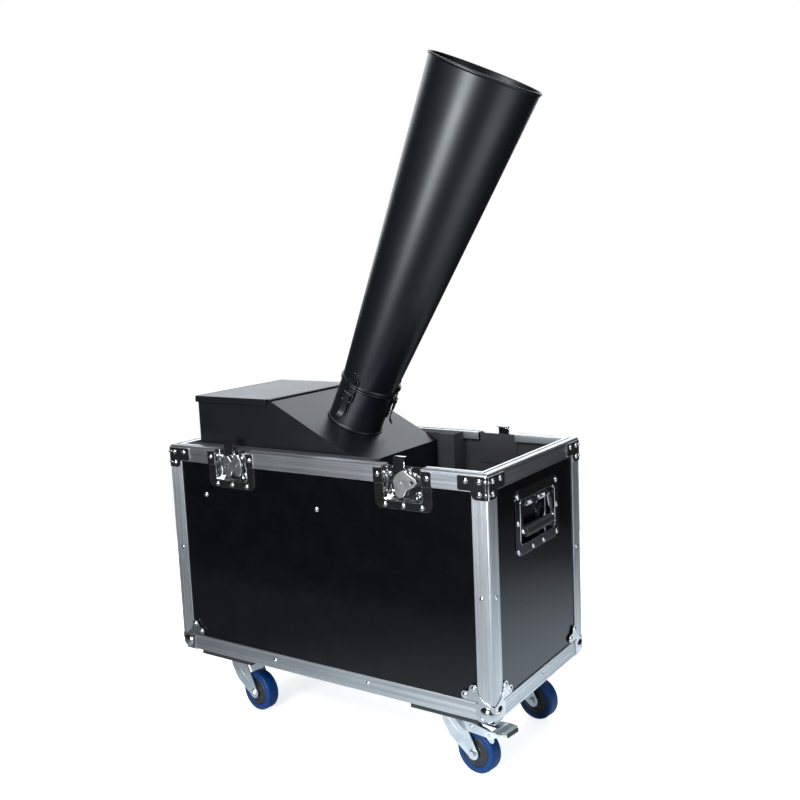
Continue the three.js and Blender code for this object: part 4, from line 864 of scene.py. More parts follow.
# %% [markdown]
# ## The hopper's lid
# The lid is a flat plate with a lip folded down on three sides and a piano hinge along the ridge. Real folded
# sheet has a rounded edge, so the lid is drawn as a section across the machine, with the fold's radius in it,
# and swept along; the end lip closes it. The hinge is a row of knuckles with a fine gap between them.

# %% Hopper lid
lid_low, lid_high = box_mm("hopper_lid")
ridge = joint_mm("lid_hinge")
LID_SHEET = 2.5
LIP_SHEET = 1.5
FOLD = 2.6
KNUCKLE = 3
KNUCKLE_LENGTH = 24
KNUCKLE_GAP = 0.8
HINGE_INSET = 4

lid = Form()
half_lid = lid_high.y
top = [(half_lid - LIP_SHEET, lid_low.z), (half_lid, lid_low.z)]
top += arc((half_lid - FOLD, lid_high.z - FOLD), FOLD, 0, 90)
top += [(-y, z) for y, z in reversed(top)]
under_top = lid_high.z - LID_SHEET
top += [(-half_lid + LIP_SHEET, under_top), (half_lid - LIP_SHEET, under_top)]
lid.loft([[(x, y, z) for y, z in top] for x in (lid_low.x + LIP_SHEET / 2, ridge.x - 4)])
end_lip = [(lid_low.x, lid_low.z), (lid_low.x + LIP_SHEET, lid_low.z), (lid_low.x + LIP_SHEET, under_top)]
end_lip += [(lid_low.x + 6, under_top), (lid_low.x + 6, lid_high.z)]
end_lip += arc((lid_low.x + FOLD, lid_high.z - FOLD), FOLD, 90, 180)
lid.loft([[(x, y, z) for x, z in end_lip] for y in (-half_lid + 0.4, half_lid - 0.4)])
hinge_half = half_lid - HINGE_INSET
leaf = [(ridge.x - 4.5, -hinge_half), (ridge.x, -hinge_half), (ridge.x, hinge_half), (ridge.x - 4.5, hinge_half)]
lid.loft([[(x, y, z) for x, y in leaf] for z in (under_top, lid_high.z - 0.2)])
lid.finish("hopper_lid_shell", powder, "lid", ["hopper_lid"], edge=0.4)

hinge = Form()
knuckle_count = int(2 * hinge_half / KNUCKLE_LENGTH)
knuckle_pitch = 2 * hinge_half / knuckle_count
knuckle_half = knuckle_pitch / 2 - KNUCKLE_GAP / 2
knuckle = both_ends([(TIP, -knuckle_half), (KNUCKLE - 0.5, -knuckle_half), (KNUCKLE, -knuckle_half + 0.5)])
for index in range(knuckle_count):
    middle = -hinge_half + (index + 0.5) * knuckle_pitch
    hinge.turned(knuckle, along_axis((ridge.x, middle, ridge.z), (0, 1, 0)), 16)
hinge.turned(rod(1.2, -hinge_half - 1, hinge_half + 1), along_axis((ridge.x, 0, ridge.z), (0, 1, 0)), 12)
hinge.finish("lid_piano_hinge", powder, "lid")

# %% [markdown]
# ## The barrel's own axis
# Collar, barrel and toggles are drawn upright about their own axis and then tilted. The model doesn't state that
# axis, but the toggles' three joints lie on a circle round it, so their middle is on the axis and the normal of
# their plane is its direction. The tapered shell follows from the two lengths and radii of the barrel.

# %% Barrel axis
TOGGLES = (1, 2, 3)
pivots = [joint_mm(f"toggle_open_{index}") for index in TOGGLES]
pivot_middle = sum(pivots, Vector()) / 3
barrel_axis = (pivots[1] - pivots[0]).cross(pivots[2] - pivots[0]).normalized()
if barrel_axis.z < 0:
    barrel_axis = -barrel_axis
STEEL = 2
FOOT_RADIUS = 51
MOUTH_RADIUS = 97.7
BARREL_LENGTH = 579.6
PIVOT_BELOW_SEAM = 14
COLLAR_LENGTH = 81
collar_foot = pivot_middle - barrel_axis * (COLLAR_LENGTH - PIVOT_BELOW_SEAM)
first_out = (pivots[0] - pivot_middle).normalized()
barrel_place = axes_place(collar_foot, first_out, barrel_axis.cross(first_out), barrel_axis)
print("tilt", round(math.degrees(barrel_axis.angle((0, 0, 1))), 2))

# %% [markdown]
# ## Collar and barrel
# Both are turned from one section each: a wall 2 mm thick that is closed at the ends, so light can't leak
# through. The mouth is rolled outward over a wire, which shows as a rounded lip, and each side of the seam has
# a bead pressed in it that stiffens the edge.

# %% Collar and barrel
SIDES = 160


def radius_at(along):
    return FOOT_RADIUS + (MOUTH_RADIUS - FOOT_RADIUS) * max(along - COLLAR_LENGTH, 0) / BARREL_LENGTH


seam = COLLAR_LENGTH
collar = [(FOOT_RADIUS - STEEL, 0.3), (FOOT_RADIUS + 2.2, 0.3)] + arc((FOOT_RADIUS + 1.9, 1.6), 1.2, -70, 60, 6)
collar += [(FOOT_RADIUS + 1, 3.4), (FOOT_RADIUS, 5.2), (FOOT_RADIUS, seam - 5)]
collar += arc((FOOT_RADIUS + 1.2, seam - 2.2), 1.8, -90, 90, 8)
collar += [(FOOT_RADIUS, seam - 0.15), (FOOT_RADIUS - STEEL, seam - 0.15)]
Form().turned(collar, barrel_place, SIDES, closed=True).finish("collar_shell", powder, "case", ["barrel_collar"])

mouth = seam + BARREL_LENGTH
shell = [(FOOT_RADIUS - STEEL, seam + 0.15), (FOOT_RADIUS, seam + 0.15)]
shell += arc((FOOT_RADIUS + 1.2, seam + 2.2), 1.8, -90, 90, 8) + [(radius_at(seam + 5), seam + 5)]
stations = [seam + BARREL_LENGTH * step / 12 for step in range(1, 12)]
shell += [(radius_at(station), station) for station in stations]
shell += [(radius_at(mouth - 6.5), mouth - 6.5), (MOUTH_RADIUS + 0.2, mouth - 5)]
shell += arc((MOUTH_RADIUS - 0.4, mouth - 2.6), 2.6, -50, 130, 12)
shell += [(MOUTH_RADIUS - STEEL, mouth - 2.4)]
shell += [(radius_at(station) - STEEL, station) for station in reversed(stations)]
Form().turned(shell, barrel_place, SIDES, closed=True).finish("barrel_shell", powder, "case", ["barrel"])

# %% [markdown]
# ## Toggles
# Three toggles hold the barrel down on the collar. Each has a base with two ears on the collar, a lever on a pin
# between them, a wire loop that goes through the lever, and a keeper on the barrel that the loop pulls on.
# One is drawn standing out along u, and then turned about the barrel's axis by a third of a turn at a time.

# %% Toggles
PIVOT = (57, 67)
CRANK = (57, 53)
LOOP_TOP = (54.2, 97)
LOOP_HALF = 9.8
LEVER_HALF = 5.7
EAR_FOOT = 50.2

lever_outline = arc(PIVOT, 2.5, 180, 0) + [(59.5, 51), (58.5, 47), (58.4, 38), (59, 32.6), (60.6, 28)]
lever_outline += [(63.4, 24.2), (66.4, 22.2), (65.4, 21.1), (61.8, 22.4), (58.6, 26.4), (56.7, 32), (56, 38)]
lever_outline += [(55.9, 47), (54.5, 50.4)]
ear_outline = [(EAR_FOOT, 72.5), (EAR_FOOT, 60)] + arc(PIVOT, 3.4, -60, 90)
keeper_outline = [(51.6, 84.5), (54, 84.9), (57.2, 88.4), (58.3, 92.5), (58.2, 94.6), (57.3, 95), (51.6, 95)]
loop_outline = rounded([(-LOOP_HALF, CRANK[1], 1.5), (LOOP_HALF, CRANK[1], 1.5),
                        (LOOP_HALF, LOOP_TOP[1], 4), (-LOOP_HALF, LOOP_TOP[1], 4)])
for index in TOGGLES:
    place = barrel_place @ Matrix.Rotation((index - 1) * 2 * math.pi / 3, 4, "Z")
    foot = place @ axes_place((EAR_FOOT, 0, 0), (0, 1, 0), (0, 0, 1), (1, 0, 0))
    base = Form().plate(plate_outline(16, 40, 2, (0, 51)), 3, foot, edge=0.5)
    for start in (8, -6.2):
        base.plate(ear_outline, 1.8, sideways(place, start), edge=0.3)
    pin = both_ends([(TIP, -9), (2.6, -9), (2.6, -8), (1.6, -8)])
    base.turned(pin, crosswise(place, PIVOT), 18)
    for level in (36, 45):
        base.turned(rivet_profile(2.6, 1.2), place @ along_axis((53.2, 0, level), (1, 0, 0)), 16)
    base.finish(f"toggle_base_{index}", powder, "case")

    keeper = Form().plate(keeper_outline, 13, sideways(place, 6.5), edge=0.6)
    for across in (-4, 4):
        keeper.turned(rivet_profile(2.2, 1.1), place @ along_axis((52.9, across, 105), (1, 0, 0)), 16)
    keeper.finish(f"toggle_keeper_{index}", powder, "case")

    bores = [disc(PIVOT, 1.75, 16), disc(CRANK, 1.45, 16)]
    lever = Form().plate(lever_outline, 2 * LEVER_HALF, sideways(place, LEVER_HALF), bores, edge=0.5)
    lever.finish(f"lever_{index}", powder, f"lever_{index}", [f"toggle_lever_{index}"])

    loop = []
    for across, height in loop_outline:
        share = (height - CRANK[1]) / (LOOP_TOP[1] - CRANK[1])
        loop.append((CRANK[0] + (LOOP_TOP[0] - CRANK[0]) * share, across, height))
    loop_wire = Form().wire(loop, 1.3, place, cyclic=True)
    loop_wire.finish(f"loop_{index}", zinc_black, f"loop_{index}", [f"toggle_loop_{index}"])

# %% [markdown]
# ## Latches
# Each latch sits in a pressed dish. Its flange lies on the panel below and steps out over the rim's flange above,
# so the sheet is cut flat and then set in steps where it crosses the rail's edge. The recess behind it is open
# at the top, where the hook comes up through the gap in the rail.

# %% Latch dishes
LATCH_HALF = 56
LATCH_DROP = 72
RECESS_HALF = 37
RECESS_DROP = 57
RECESS_BACK = -12
STEP_LEVEL = -30.3
STEP_OUT = 2.1
PANEL_BACK = -1.8
LATCH_RIVETS = [(-48, -15.5), (48, -15.5), (-36, -65.5), (0, -65.5), (36, -65.5)]


def latch_place(name):
    side = name.split("_")[0]
    return on_face(side, -latch_centre(name) if side == "back" else latch_centre(name), RIM)


def stepped(form, level, rise, run=1.2):
    """Sets the part of a flat sheet above a level out by a rise, over a short slope."""
    for cut in (level - run / 2, level + run / 2):
        form.cut_at((0, cut, 0), (0, 1, 0))
    for point in form.mesh.verts:
        point.co.z += rise * max(0, min(1, (point.co.y - level) / run + 0.5))


latch_flange = rounded([
    (-LATCH_HALF, -SHOULDER, 2), (-LATCH_HALF, -LATCH_DROP, 12), (LATCH_HALF, -LATCH_DROP, 12),
    (LATCH_HALF, -SHOULDER, 2), (RECESS_HALF, -SHOULDER, 1), (RECESS_HALF, -RECESS_DROP, 6),
    (-RECESS_HALF, -RECESS_DROP, 6), (-RECESS_HALF, -SHOULDER, 1),
])
recess_path = cup_outline(RECESS_HALF, -2, -RECESS_DROP, 6)
bead_half = RECESS_HALF + 1
bead_low = cup_outline(bead_half, STEP_LEVEL - 0.8, -RECESS_DROP - 1, 7)
bead = [(bead_half, -3, STEP_OUT), (bead_half, STEP_LEVEL + 0.8, STEP_OUT)] + [(u, v, 0) for u, v in bead_low]
bead += [(-bead_half, STEP_LEVEL + 0.8, STEP_OUT), (-bead_half, -3, STEP_OUT)]
FLOOR_FRONT = 0.4
BACKING = 0.5
SPRING_WIRE = 1.1


def recess_wall(form, path):
    """The side and bottom walls of a recess as one strip that follows its outline, with a fillet at the floor."""
    rings = []
    for index, (u, v) in enumerate(path):
        before, after = Vector(path[max(index - 1, 0)]), Vector(path[min(index + 1, len(path) - 1)])
        run = (after - before).normalized()
        out = Vector((run.y, -run.x))
        top = STEP_OUT - 0.9 if v > STEP_LEVEL + 1.5 else -0.9
        under = RECESS_BACK - FLOOR_FRONT
        section = [(0, top), (SHEET, top), (SHEET, under), (-1.5, under)]
        section += [(-1.5, RECESS_BACK), (-0.4, RECESS_BACK + 0.4), (0, RECESS_BACK + 1.5)]
        rings.append([(u - out.x * d, v - out.y * d, w) for d, w in section])
    form.loft(rings)


for name in LATCHES:
    place = latch_place(name)
    form = Form().plate(latch_flange, SHEET, lift(PANEL_BACK))
    stepped(form, STEP_LEVEL, STEP_OUT)
    recess_wall(form, recess_path)
    form.wire(bead, 0.9, lift(PANEL_BACK + SHEET - 0.1))
    floor_plate = plate_outline(2 * RECESS_HALF - 2, RECESS_DROP - 4, 4, (0, -RECESS_DROP / 2 - 0.5))
    form.plate(floor_plate, FLOOR_FRONT, lift(RECESS_BACK - FLOOR_FRONT))
    for side, guide, turns in ((-1, -24.5, (200, -60)), (1, 12.5, (-20, 240))):
        form.plate(plate_outline(2, 54, 0.8, (guide, -30)), 2.4, lift(RECESS_BACK - 0.2))
        form.turned(rivet_profile(4, 2.6), shift(guide + side * 6.5, -16, RECESS_BACK), 24)
        form.wire(arc((side * 26, -48), 5.4, *turns, 18), SPRING_WIRE, lift(RECESS_BACK + 4))
        spring_arm = [(side * 30.5, -46), (side * 33, -30), (side * 30, -14)]
        form.wire(spring_arm, SPRING_WIRE, lift(RECESS_BACK + 3))
    form.moved(place).finish(f"latch_dish_{name}", chrome, "case", [f"latch_dish_{name}"])
    backing = plate_outline(2 * RECESS_HALF + 5, RECESS_DROP + 0.5, 1, (0, -RECESS_DROP / 2 - 2.3))
    backing_place = place @ lift(RECESS_BACK - FLOOR_FRONT - BACKING)
    Form().plate(backing, BACKING, backing_place, edge=0.2).finish(f"latch_backing_{name}", laminate, "case")
    heads = []
    for u, v in LATCH_RIVETS:
        step_up = STEP_OUT if v > STEP_LEVEL else 0
        heads.append(place @ shift(u, v, PANEL_BACK + SHEET + step_up))
    rivets(f"latch_rivets_{name}", heads)

# %% [markdown]
# ## Hooks and wings
# Turning the wing draws the hook down 10 mm onto the case's lid. The hook has a slotted foot on the wing's shaft,
# and beside it a flat tongue with its top bent back into a lip. The wing is pressed in one piece: two leaves on
# a hub, each with a hole and a ring for a finger. In the photo the left wing in front stands open and the right
# one is folded, so two outlines are drawn, and the latches at the back are taken to be folded too.

# %% Hooks and wings
HOOK_HALF = 11
HOOK_FRONT = -9.8
HOOK_SHEET = 1.9
HOOK_TOP = 13
HOOK_LEFT = -23
HOOK_RIGHT = -1
HOOK_FOOT = -11
HOOK_LIP = 7
AXIS_LEVEL = -31
WING_FRONT = -3
WING_SHEET = 2


def hook_form(place):
    back_face = HOOK_FRONT - HOOK_SHEET
    tip, under = back_face - HOOK_LIP, HOOK_TOP - HOOK_SHEET
    bend = [(back_face, HOOK_TOP - 3)] + arc((back_face - 1.5, under - 1.5), 1.5, 0, 90, 5)
    bend += [(tip + 0.6, under), (tip, under + 0.6), (tip, HOOK_TOP - 0.6), (tip + 0.6, HOOK_TOP)]
    bend += arc((back_face - 1.5, HOOK_TOP - 3.4), 3.4, 90, 0, 7) + [(HOOK_FRONT, HOOK_TOP - 4)]
    form = Form().loft([[(u, v, w) for w, v in bend] for u in (HOOK_LEFT, HOOK_RIGHT)], place)
    slot = plate_outline(7.4, 17.4, 3.6, (0, -26))
    tongue = rounded([(HOOK_LEFT, HOOK_TOP - 3.5, 0), (HOOK_LEFT, -45, 3), (HOOK_HALF, -45, 3),
                      (HOOK_HALF, HOOK_FOOT, 4), (HOOK_RIGHT, HOOK_FOOT, 3), (HOOK_RIGHT, HOOK_TOP - 3.5, 0)])
    return form.plate(tongue, HOOK_SHEET, place @ lift(back_face), [slot])


LEAF = [(0, 6, 2), (8, 19, 3), (15, 20.5, 4), (22, 10, 5), (22, -10, 5), (15, -20.5, 4), (8, -19, 3)]
OPEN_WING = LEAF + [(-u, -v, radius) for u, v, radius in LEAF]
OPEN_TURN = 0.12
FOLDED_WING = [(1, 24, 3), (10, 17, 6), (24, 10, 3), (25, 3, 4), (19, -3, 4), (5, -10, 5), (-2, -21, 4),
               (-9, -24, 4), (-16, -19, 5), (-18, -3, 6), (-21, 5, 4), (-14, 15, 6), (-6, 21, 3)]
WINGS = {"open": (OPEN_WING, [(-13.5, 0), (13.5, 0)]), "folded": (FOLDED_WING, [(-4, 4.5), (16.5, 4.5)])}


def wing_form(place, shape):
    outline, rings = WINGS[shape]
    holes = [disc(ring, 3.4, 20) for ring in rings]
    form = Form().plate(rounded(outline), WING_SHEET - 0.4, lift(WING_FRONT - WING_SHEET), holes)
    rim = [(3.3, WING_FRONT - 1), (3.8, WING_FRONT), (4.6, WING_FRONT), (5.4, WING_FRONT - 0.9)]
    for ring in rings:
        form.turned(rim, shift(*ring), 28, closed=True)
    form.turned(rod(9.9, HOOK_FRONT + 0.3, WING_FRONT - 1.4), sides=36)
    form.turned(rod(3.3, HOOK_FRONT - HOOK_SHEET, WING_FRONT - 3))
    return form.moved(place)


for name in LATCHES:
    place = latch_place(name)
    hook_form(place).finish(f"hook_{name}", chrome, f"hook_{name}", [f"latch_hook_{name}"])
    shape, turned_by = ("open", OPEN_TURN) if name == "front_left" else ("folded", 0)
    wing_place = place @ shift(0, AXIS_LEVEL) @ Matrix.Rotation(turned_by, 4, "Z")
    wing_form(wing_place, shape).finish(f"wing_{name}", satin, f"wing_{name}", [f"latch_wing_{name}"])

# %% [markdown]
# ## Carry handles
# The handle's dish is pressed in one piece, with a flange on the panel and a recess behind. The bail is one bent
# bar with a rubber grip, and coil springs on its upper bar pull it back into the dish. A coil is a wire on a
# helix, so a sine and a cosine draw it.

# %% Handles
handle_low, handle_high = box_mm("handle_dish_right")
HANDLE_LEVEL = (handle_low.z + handle_high.z) / 2
PLATE_BACK = -1.8
POCKET_FLOOR = -18.8
BAIL_HALF = 57
BAIL_END = 63.7
BAIL_ROD = 3.5
GRIP_HALF = 51
GRIP = 8.5
bail_pivot = joint_mm("handle_lift_right")
PIVOT_UP = bail_pivot.z - HANDLE_LEVEL
PIVOT_OUT = bail_pivot.x - HALF_LENGTH
BAIL_DROP = 44
GRIP_OUT = -1.1
GRIP_DOWN = PIVOT_UP - BAIL_DROP
TURN_STEPS = 14
HANDLE_RIVETS = [(side * 72, v) for side in (-1, 1) for v in (44.4, 0.6, -47.4)] + [(-20, -48.9), (20, -48.9)]


def coil(first, last, radius, pitch):
    steps = int(abs(last - first) / pitch * TURN_STEPS)
    points = []
    for step in range(steps + 1):
        angle = 2 * math.pi * step / TURN_STEPS
        v, w = PIVOT_UP + radius * math.cos(angle), PIVOT_OUT + radius * math.sin(angle)
        points.append((first + (last - first) * step / steps, v, w))
    return points


def pocket_outline(out):
    """The pocket's mouth, grown on all sides."""
    return plate_outline(128 + 2 * out, 74 + 2 * out, 8 + out)


pocket_steps = [(-3.6, POCKET_FLOOR), (-0.9, POCKET_FLOOR + 1.2), (0, POCKET_FLOOR + 4), (0, -0.5), (1.4, -0.5)]
pocket_steps += [(1.4, POCKET_FLOOR - SHEET)]
for end in ("right", "left"):
    place = on_face(end, 0, HANDLE_LEVEL)
    form = Form().plate(plate_outline(162, 111, 16), SHEET, place @ lift(PLATE_BACK), [pocket_outline(0)])
    form.loft([[(u, v, w) for u, v in pocket_outline(out)] for out, w in pocket_steps], place)
    mouth_bead = [(u, v, PLATE_BACK + SHEET - 0.2) for u, v in pocket_outline(1.2)]
    form.wire(mouth_bead, 0.8, place, cyclic=True)
    # The handle's dish takes the chrome whose colour is darkened as painted shade.
    form.finish(f"handle_dish_{end}", shade_darkened_chrome, "case", [f"handle_dish_{end}"])
    rivets(f"handle_rivets_{end}", [place @ shift(u, v, PLATE_BACK + SHEET) for u, v in HANDLE_RIVETS])
    bail = Form().wire([(u, PIVOT_UP, PIVOT_OUT) for u in (-BAIL_END, BAIL_END)], BAIL_ROD, place)
    arms = cup_outline(-BAIL_HALF, PIVOT_UP, GRIP_DOWN, 7)
    lean = (GRIP_OUT - PIVOT_OUT) / BAIL_DROP
    bail.wire([(u, v, PIVOT_OUT + (PIVOT_UP - v) * lean) for u, v in arms], BAIL_ROD, place)
    bail.finish(f"bail_{end}", chrome, f"handle_{end}", [f"carry_handle_{end}"])
    grip = [(BAIL_ROD, -GRIP_HALF), (GRIP - 1.5, -GRIP_HALF), (GRIP, -GRIP_HALF + 1.5)]
    for step in range(1, 12):
        middle = -GRIP_HALF + 2 * GRIP_HALF * step / 12
        grip += [(GRIP, middle - 2), (GRIP - 0.5, middle - 1.2), (GRIP - 0.5, middle + 1.2), (GRIP, middle + 2)]
    grip = grip + [(r, -w) for r, w in reversed(grip[:3])]
    grip_form = Form().turned(grip, place @ along_axis((0, GRIP_DOWN, GRIP_OUT), (1, 0, 0)), 32, closed=True)
    grip_form.finish(f"grip_{end}", grip_rubber, f"handle_{end}")
    springs = Form()
    for side in (-1, 1):
        springs.wire(coil(side * 12, side * 34, 4.6, 2.1), 0.8, place, rounding=1)
    springs.finish(f"springs_{end}", chrome, f"handle_{end}")

# %% [markdown]
# ## Castor boards and races
# The castors hang from two painted boards across the base. Each has a zinc top plate with a ball race and a
# kingpin, which belong to the board: the fork turns between the race and the kingpin's head.

# %% Castor boards
WHEELS = {name: joint_mm(f"castor_swivel_{name}") for name in CORNERS}
BOARD = 12
BOARD_UNDER = BASE - GAP - BOARD
for end in ("left", "right"):
    low, high = box_mm(f"castor_board_{end}")
    outline = plate_outline(high.x - low.x, high.y - low.y, 2, (low + high) / 2)
    board = Form().plate(outline, BOARD, lift(BOARD_UNDER), edge=0.8)
    board.finish(f"board_{end}", board_paint, "case", [f"castor_board_{end}"])

TOP_PLATE = 2.5
RACE = 4.5
TOP_BOLTS = [(u, v) for u in (-38, 38) for v in (-24, 24)]
CROWN_TOP = BOARD_UNDER - TOP_PLATE - RACE - GAP
CROWN = 25
heads = Form()
race = [(5, 0.3), (22, 0.3), (22, 3.9), (21, RACE - 0.1), (5, RACE - 0.1)]
kingpin = [(TIP, -5.8), (7.4, -5.8), (8, -5.2), (8, -3.6), (5, -3.3), (5, 0.6), (TIP, 0.6)]
top_bolt = [(TIP, 2.9), (5.5, 2.9), (6, 3.6), (6, 4.9), (TIP, 4.9)]
for pivot in WHEELS.values():
    head_place = shift(pivot.x, pivot.y, CROWN_TOP)
    heads.turned(race, head_place, 48, closed=True)
    heads.turned(kingpin, head_place, 6)
    holes = [disc(middle, 4.2, 20) for middle in TOP_BOLTS]
    heads.plate(plate_outline(94, 66, 7), TOP_PLATE, head_place @ lift(RACE + GAP), holes)
    for middle in TOP_BOLTS:
        heads.turned(top_bolt, head_place @ shift(*middle), 6)
heads.finish("castor_heads", zinc, "case")

# %% [markdown]
# ## Forks and wheels
# A fork is one pressing: a crown with two legs that run back to the axle. Each leg is sheet with a bend line
# pressed along it, and the axle is a bolt with a hexagon head and a nut. The wheel has a black hub with ribs
# and a blue tread. All of them are drawn straight and turned by the castor's heading afterwards.

# %% Castors
HEADING = math.radians(-8)
TRAIL = 43
AXLE = joint_mm("wheel_spin_front_right").z
FORK_HALF = 16.5
FORK_SHEET = 2.5
WHEEL = 37.5
BRAKED = ("front_right", "back_left")
PIN = (80, -38.9)


def castor_place(name):
    pivot = WHEELS[name]
    return shift(pivot.x, pivot.y) @ Matrix.Rotation(HEADING, 4, "Z")


leg_top = CROWN_TOP - 1.5
leg_outline = [(-21.5, leg_top), (-19, leg_top - 17), (-4, (leg_top + AXLE) / 2 - 11)]
leg_outline += arc((TRAIL, AXLE), 11, 216, 405, 14) + [(24.5, leg_top - 3), (21.5, leg_top)]
arm_outline = [(0, leg_top - 3), (21.5, leg_top - 3), (PIN[0] - 7, PIN[1] + 7)] + arc(PIN, 7, 90, 0)
arm_outline += [(PIN[0] + 7, PIN[1] - 12), (PIN[0] + 5, PIN[1] - 14), (PIN[0], PIN[1] - 14)]
arm_outline += [(PIN[0] - 7, PIN[1] - 7), (25, PIN[1] - 7)]
ARM_RIVET = (43, PIN[1] + 4)
bolt = [(TIP, -4), (6, -4), (7, -3.2), (7, 0), (TIP, 0)]
washer = [(3, 0), (8.5, 0), (8.5, -0.9), (3, -0.9)]
crown = [(5.3, -3), (CROWN - 1, -3), (CROWN, -2), (CROWN, -1), (CROWN - 1, 0), (5.3, 0)]
rib = [(-12, leg_top - 8), (-8, leg_top - 8), (33, AXLE + 14), (31, AXLE + 17)]
rib_outline = rounded([(u, v, 1.4) for u, v in rib])
wheel_side = [(4.4, 15.5), (8, 15.5), (10, 14.6), (10.6, 11.6), (12.4, 10.6), (18.6, 10.2), (20, 11.2)]
wheel_side += [(23.6, 11.2), (24.6, 10.4), (26, 10.8), (27, 12.6)]
tread_side = [(26.2, -12.2), (27, -12.2), (33.6, -13), (35.8, -12), (37, -10.2), (WHEEL, -7.6)]
tyre = tread_side + [(WHEEL, 0)] + [(r, -w) for r, w in reversed(tread_side)]

for name in WHEELS:
    braked = name in BRAKED
    place = castor_place(name)
    fork = Form().turned(crown, place @ lift(CROWN_TOP), 56, closed=True)
    for side in (-1, 1):
        inner = side * FORK_HALF + (0 if side < 0 else FORK_SHEET)
        fork.plate(leg_outline, FORK_SHEET, sideways(place, inner), edge=0.5)
        outer = side * (FORK_HALF + FORK_SHEET)
        rib_place = sideways(place, outer + (0.6 if side < 0 else 0.4))
        fork.plate(rib_outline, 1, rib_place, edge=0.4)
        axle_end = place @ along_axis((TRAIL, outer, AXLE), (0, -side, 0))
        fork.turned(bolt, axle_end, 6)
        fork.turned(washer, axle_end, 28, closed=True)
        if braked:
            fork.plate(arm_outline, FORK_SHEET, sideways(place, inner), edge=0.5)
            arm_rivet = place @ along_axis((ARM_RIVET[0], outer, ARM_RIVET[1]), (0, side, 0))
            fork.turned(rivet_profile(3.6, 1.6), arm_rivet, 20)
    axle_place = crosswise(place, (TRAIL, AXLE))
    fork.turned(rod(4, -FORK_HALF - 1, FORK_HALF + 1), axle_place, 20)
    if braked:
        fork.turned(rod(2.5, -21.8, 21.8), crosswise(place, PIN), 18)
    fork.finish(f"fork_{name}", zinc, f"castor_{name}", [f"castor_fork_{name}"])

    hub = Form().turned(both_ends(wheel_side), axle_place, 72, closed=True)
    hub.finish(f"hub_{name}", hub_plastic, f"wheel_{name}", [f"castor_wheel_{name}"])
    Form().turned(tyre, axle_place, 96, closed=True).finish(f"tread_{name}", tread, f"wheel_{name}")

# %% [markdown]
# ## Brake pedals
# The pedal is a folded steel channel that hangs on the brake pin, with a flat for the foot at its end and a
# black strip along the flat's edge, which makes that edge dark. Its two side plates lie just outside the fork's
# arms.

# %% Pedals
PEDAL_TOP = PIN[1] + 8
PEDAL_INNER = 19.3
PEDAL_SHEET = 2.5
PEDAL_OUTER = PEDAL_INNER + PEDAL_SHEET
side_plate = [(PIN[0], PIN[1] + 7)] + arc(PIN, 7, 90, 270)[1:]
side_plate += [(106, PEDAL_TOP - PEDAL_SHEET), (106, PEDAL_TOP), (91, PEDAL_TOP)]
half_flat = [(91, -PEDAL_OUTER, 1), (107, -PEDAL_OUTER, 6), (111.8, -PEDAL_OUTER + 8, 5)]
flat = rounded(half_flat + [(u, -v, radius) for u, v, radius in reversed(half_flat)])
strip = plate_outline(3, 2 * PEDAL_OUTER - 14, 1.4, (112.3, 0))
for name in BRAKED:
    place = castor_place(name)
    form = Form()
    for side in (-1, 1):
        inner = side * PEDAL_INNER + (0 if side < 0 else PEDAL_SHEET)
        form.plate(side_plate, PEDAL_SHEET, sideways(place, inner), [disc(PIN, 2.8, 20)])
    form.plate(flat, PEDAL_SHEET, place @ lift(PEDAL_TOP - PEDAL_SHEET), edge=0.6)
    form.plate(plate_outline(3, 30, 1.4, (103, 0)), 1, place @ lift(PEDAL_TOP - 0.6))
    form.finish(f"pedal_{name}", pedal_steel, f"pedal_{name}", [f"brake_pedal_{name}"])
    # A black strip along the flat's outer edge makes that edge dark; it takes the grips' black finish.
    strip_place = place @ lift(PEDAL_TOP - PEDAL_SHEET - 2.6)
    strip_form = Form().plate(strip, PEDAL_SHEET + 3.4, strip_place, edge=0.4)
    strip_form.finish(f"pedal_edge_{name}", grip_rubber, f"pedal_{name}")

# %% [markdown]
# ## Floor and light
# Black panels and chrome show little but what they reflect, so the studio is planned from the reflections. The
# camera looks down a little, so the front panel mirrors the ground far to the front left. The floor is a pool of
# light that falls off before that, so the panel stays black, with a paler band at its foot. A second pool far to
# the right gives the barrel its second streak. Large soft lights draw the other streaks, and a low one in front
# draws the main streak of the barrel. All the light is a little cool, as daylight is. The world is white for the
# camera alone and dim for everything else, and the camera sees the floor white, so that it meets the white.

# %% Floor and light
paper = Finish("pale floor", None, (0.8, 0.8, 0.8), {"Emission Strength": 0.75, "Emission Color": (1, 1, 1, 1)})
paper.feed("Roughness", 0.65 + 0.1 * paper.noise(3, 2))
seen = Value(paper, paper.node("ShaderNodeLightPath").outputs["Is Camera Ray"])
COOL = (0.91, 0.98, 1.03)


def cool(level):
    return tuple(level * share for share in COOL)


def pool(x, y, inner, outer, bright, dim):
    """A round pool of light on the floor: bright up to the inner radius and dim beyond the outer one."""
    middle = (Vector((x, y, 0)) + CASE_MIDDLE) * MM
    gap = paper.node("ShaderNodeVectorMath", {"operation": "DISTANCE"}, {0: paper.spot, 1: (middle.x, middle.y, 0)})
    beyond = paper.between(Value(paper, gap.outputs["Value"]), inner * MM, outer * MM)
    return paper.mix(beyond, cool(bright), cool(dim))


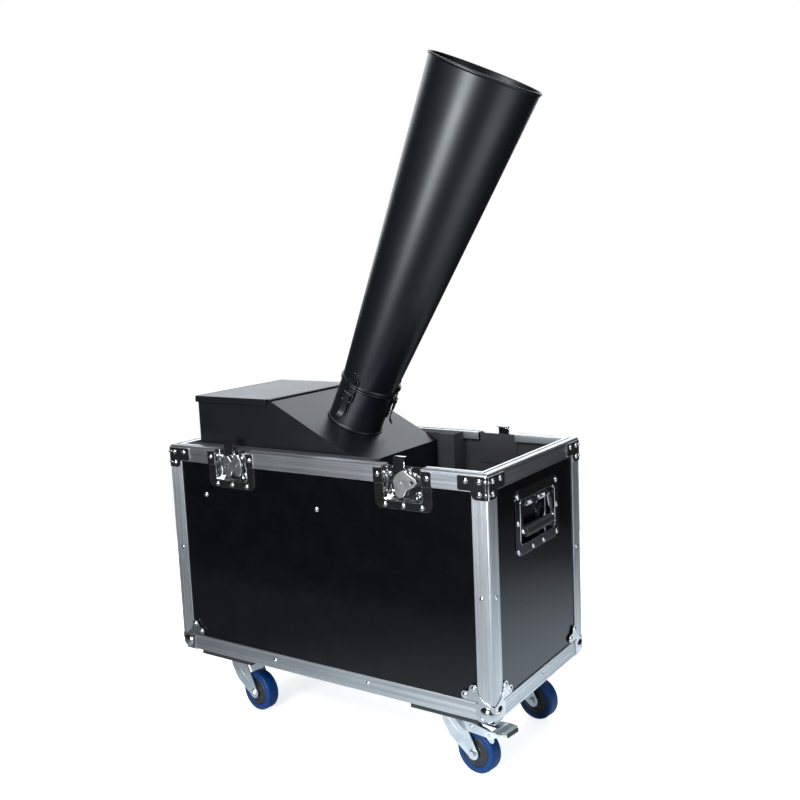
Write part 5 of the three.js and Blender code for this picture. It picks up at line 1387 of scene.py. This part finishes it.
paper.feed("Base Color", paper.mix(seen, pool(300, 200, 250, 980, 0.88, 0.05), (0.8, 0.8, 0.8)))
paper.feed("Emission Color", paper.mix(seen, pool(1700, -200, 200, 800, 5, 0.03), (1, 1, 1)))
floor_level = box_mm("castor_wheel_front_right")[0].z
FLOOR_CORNERS = [(-1300, -800), (2400, -800), (2400, 1300), (-1300, 1300)]
FLOOR_SHEET = 4
FLOOR_GAP = 0.2
floor_outline = rounded([(x, y, 90) for x, y in FLOOR_CORNERS])
floor_form = Form().plate(floor_outline, FLOOR_SHEET, lift(floor_level - FLOOR_SHEET - FLOOR_GAP))
studio_floor = bpy.data.objects.new("studio_floor", floor_form.made("studio_floor", paper))
bpy.context.scene.collection.objects.link(studio_floor)

LIGHTS = {
    "key": (4, 40, 3.0, 1.6, 1.2, 112),
    "low": (2, 0, 3.0, 1.0, 0.8, 84),
    "right": (84, 20, 3.0, 1.2, 2.0, 30),
    "top": (160, 76, 2.8, 2.6, 2.6, 37),
    "backdrop": (-150, 28, 3.2, 4.6, 2.2, 76),
}
AIM = Vector((0, 0, 350))


def soft_light(name, azimuth, elevation, distance, width, height, watts):
    """A rectangular light that looks at the case. Azimuth 0 is in front and 90 is off the right end."""
    turned, raised = math.radians(azimuth), math.radians(elevation)
    away = Vector((math.sin(turned) * math.cos(raised), -math.cos(turned) * math.cos(raised), math.sin(raised)))
    data = bpy.data.lights.new(name, "AREA")
    data.shape = "RECTANGLE"
    data.size = width
    data.size_y = height
    data.energy = watts
    data.color = COOL
    lamp = bpy.data.objects.new(name, data)
    lamp.location = (CASE_MIDDLE + AIM) * MM + away * distance
    lamp.rotation_euler = away.to_track_quat("Z", "Y").to_euler()
    bpy.context.scene.collection.objects.link(lamp)


for name, numbers in LIGHTS.items():
    soft_light(name, *numbers)

WORLD_DIM = 0.022
world = bpy.data.worlds.new("studio")
bpy.context.scene.world = world
world.use_nodes = True
sky = world.node_tree
dim = sky.nodes["Background"]
white = sky.nodes.new("ShaderNodeBackground")
for background, strength in ((dim, WORLD_DIM), (white, 1)):
    background.inputs["Color"].default_value = (1, 1, 1, 1)
    background.inputs["Strength"].default_value = strength
rays = sky.nodes.new("ShaderNodeLightPath")
choice = sky.nodes.new("ShaderNodeMixShader")
sky.links.new(rays.outputs["Is Camera Ray"], choice.inputs[0])
sky.links.new(dim.outputs[0], choice.inputs[1])
sky.links.new(white.outputs[0], choice.inputs[2])
sky.links.new(choice.outputs[0], sky.nodes["World Output"].inputs["Surface"])
bpy.context.scene.view_settings.view_transform = "Standard"
print("lights", len(LIGHTS))
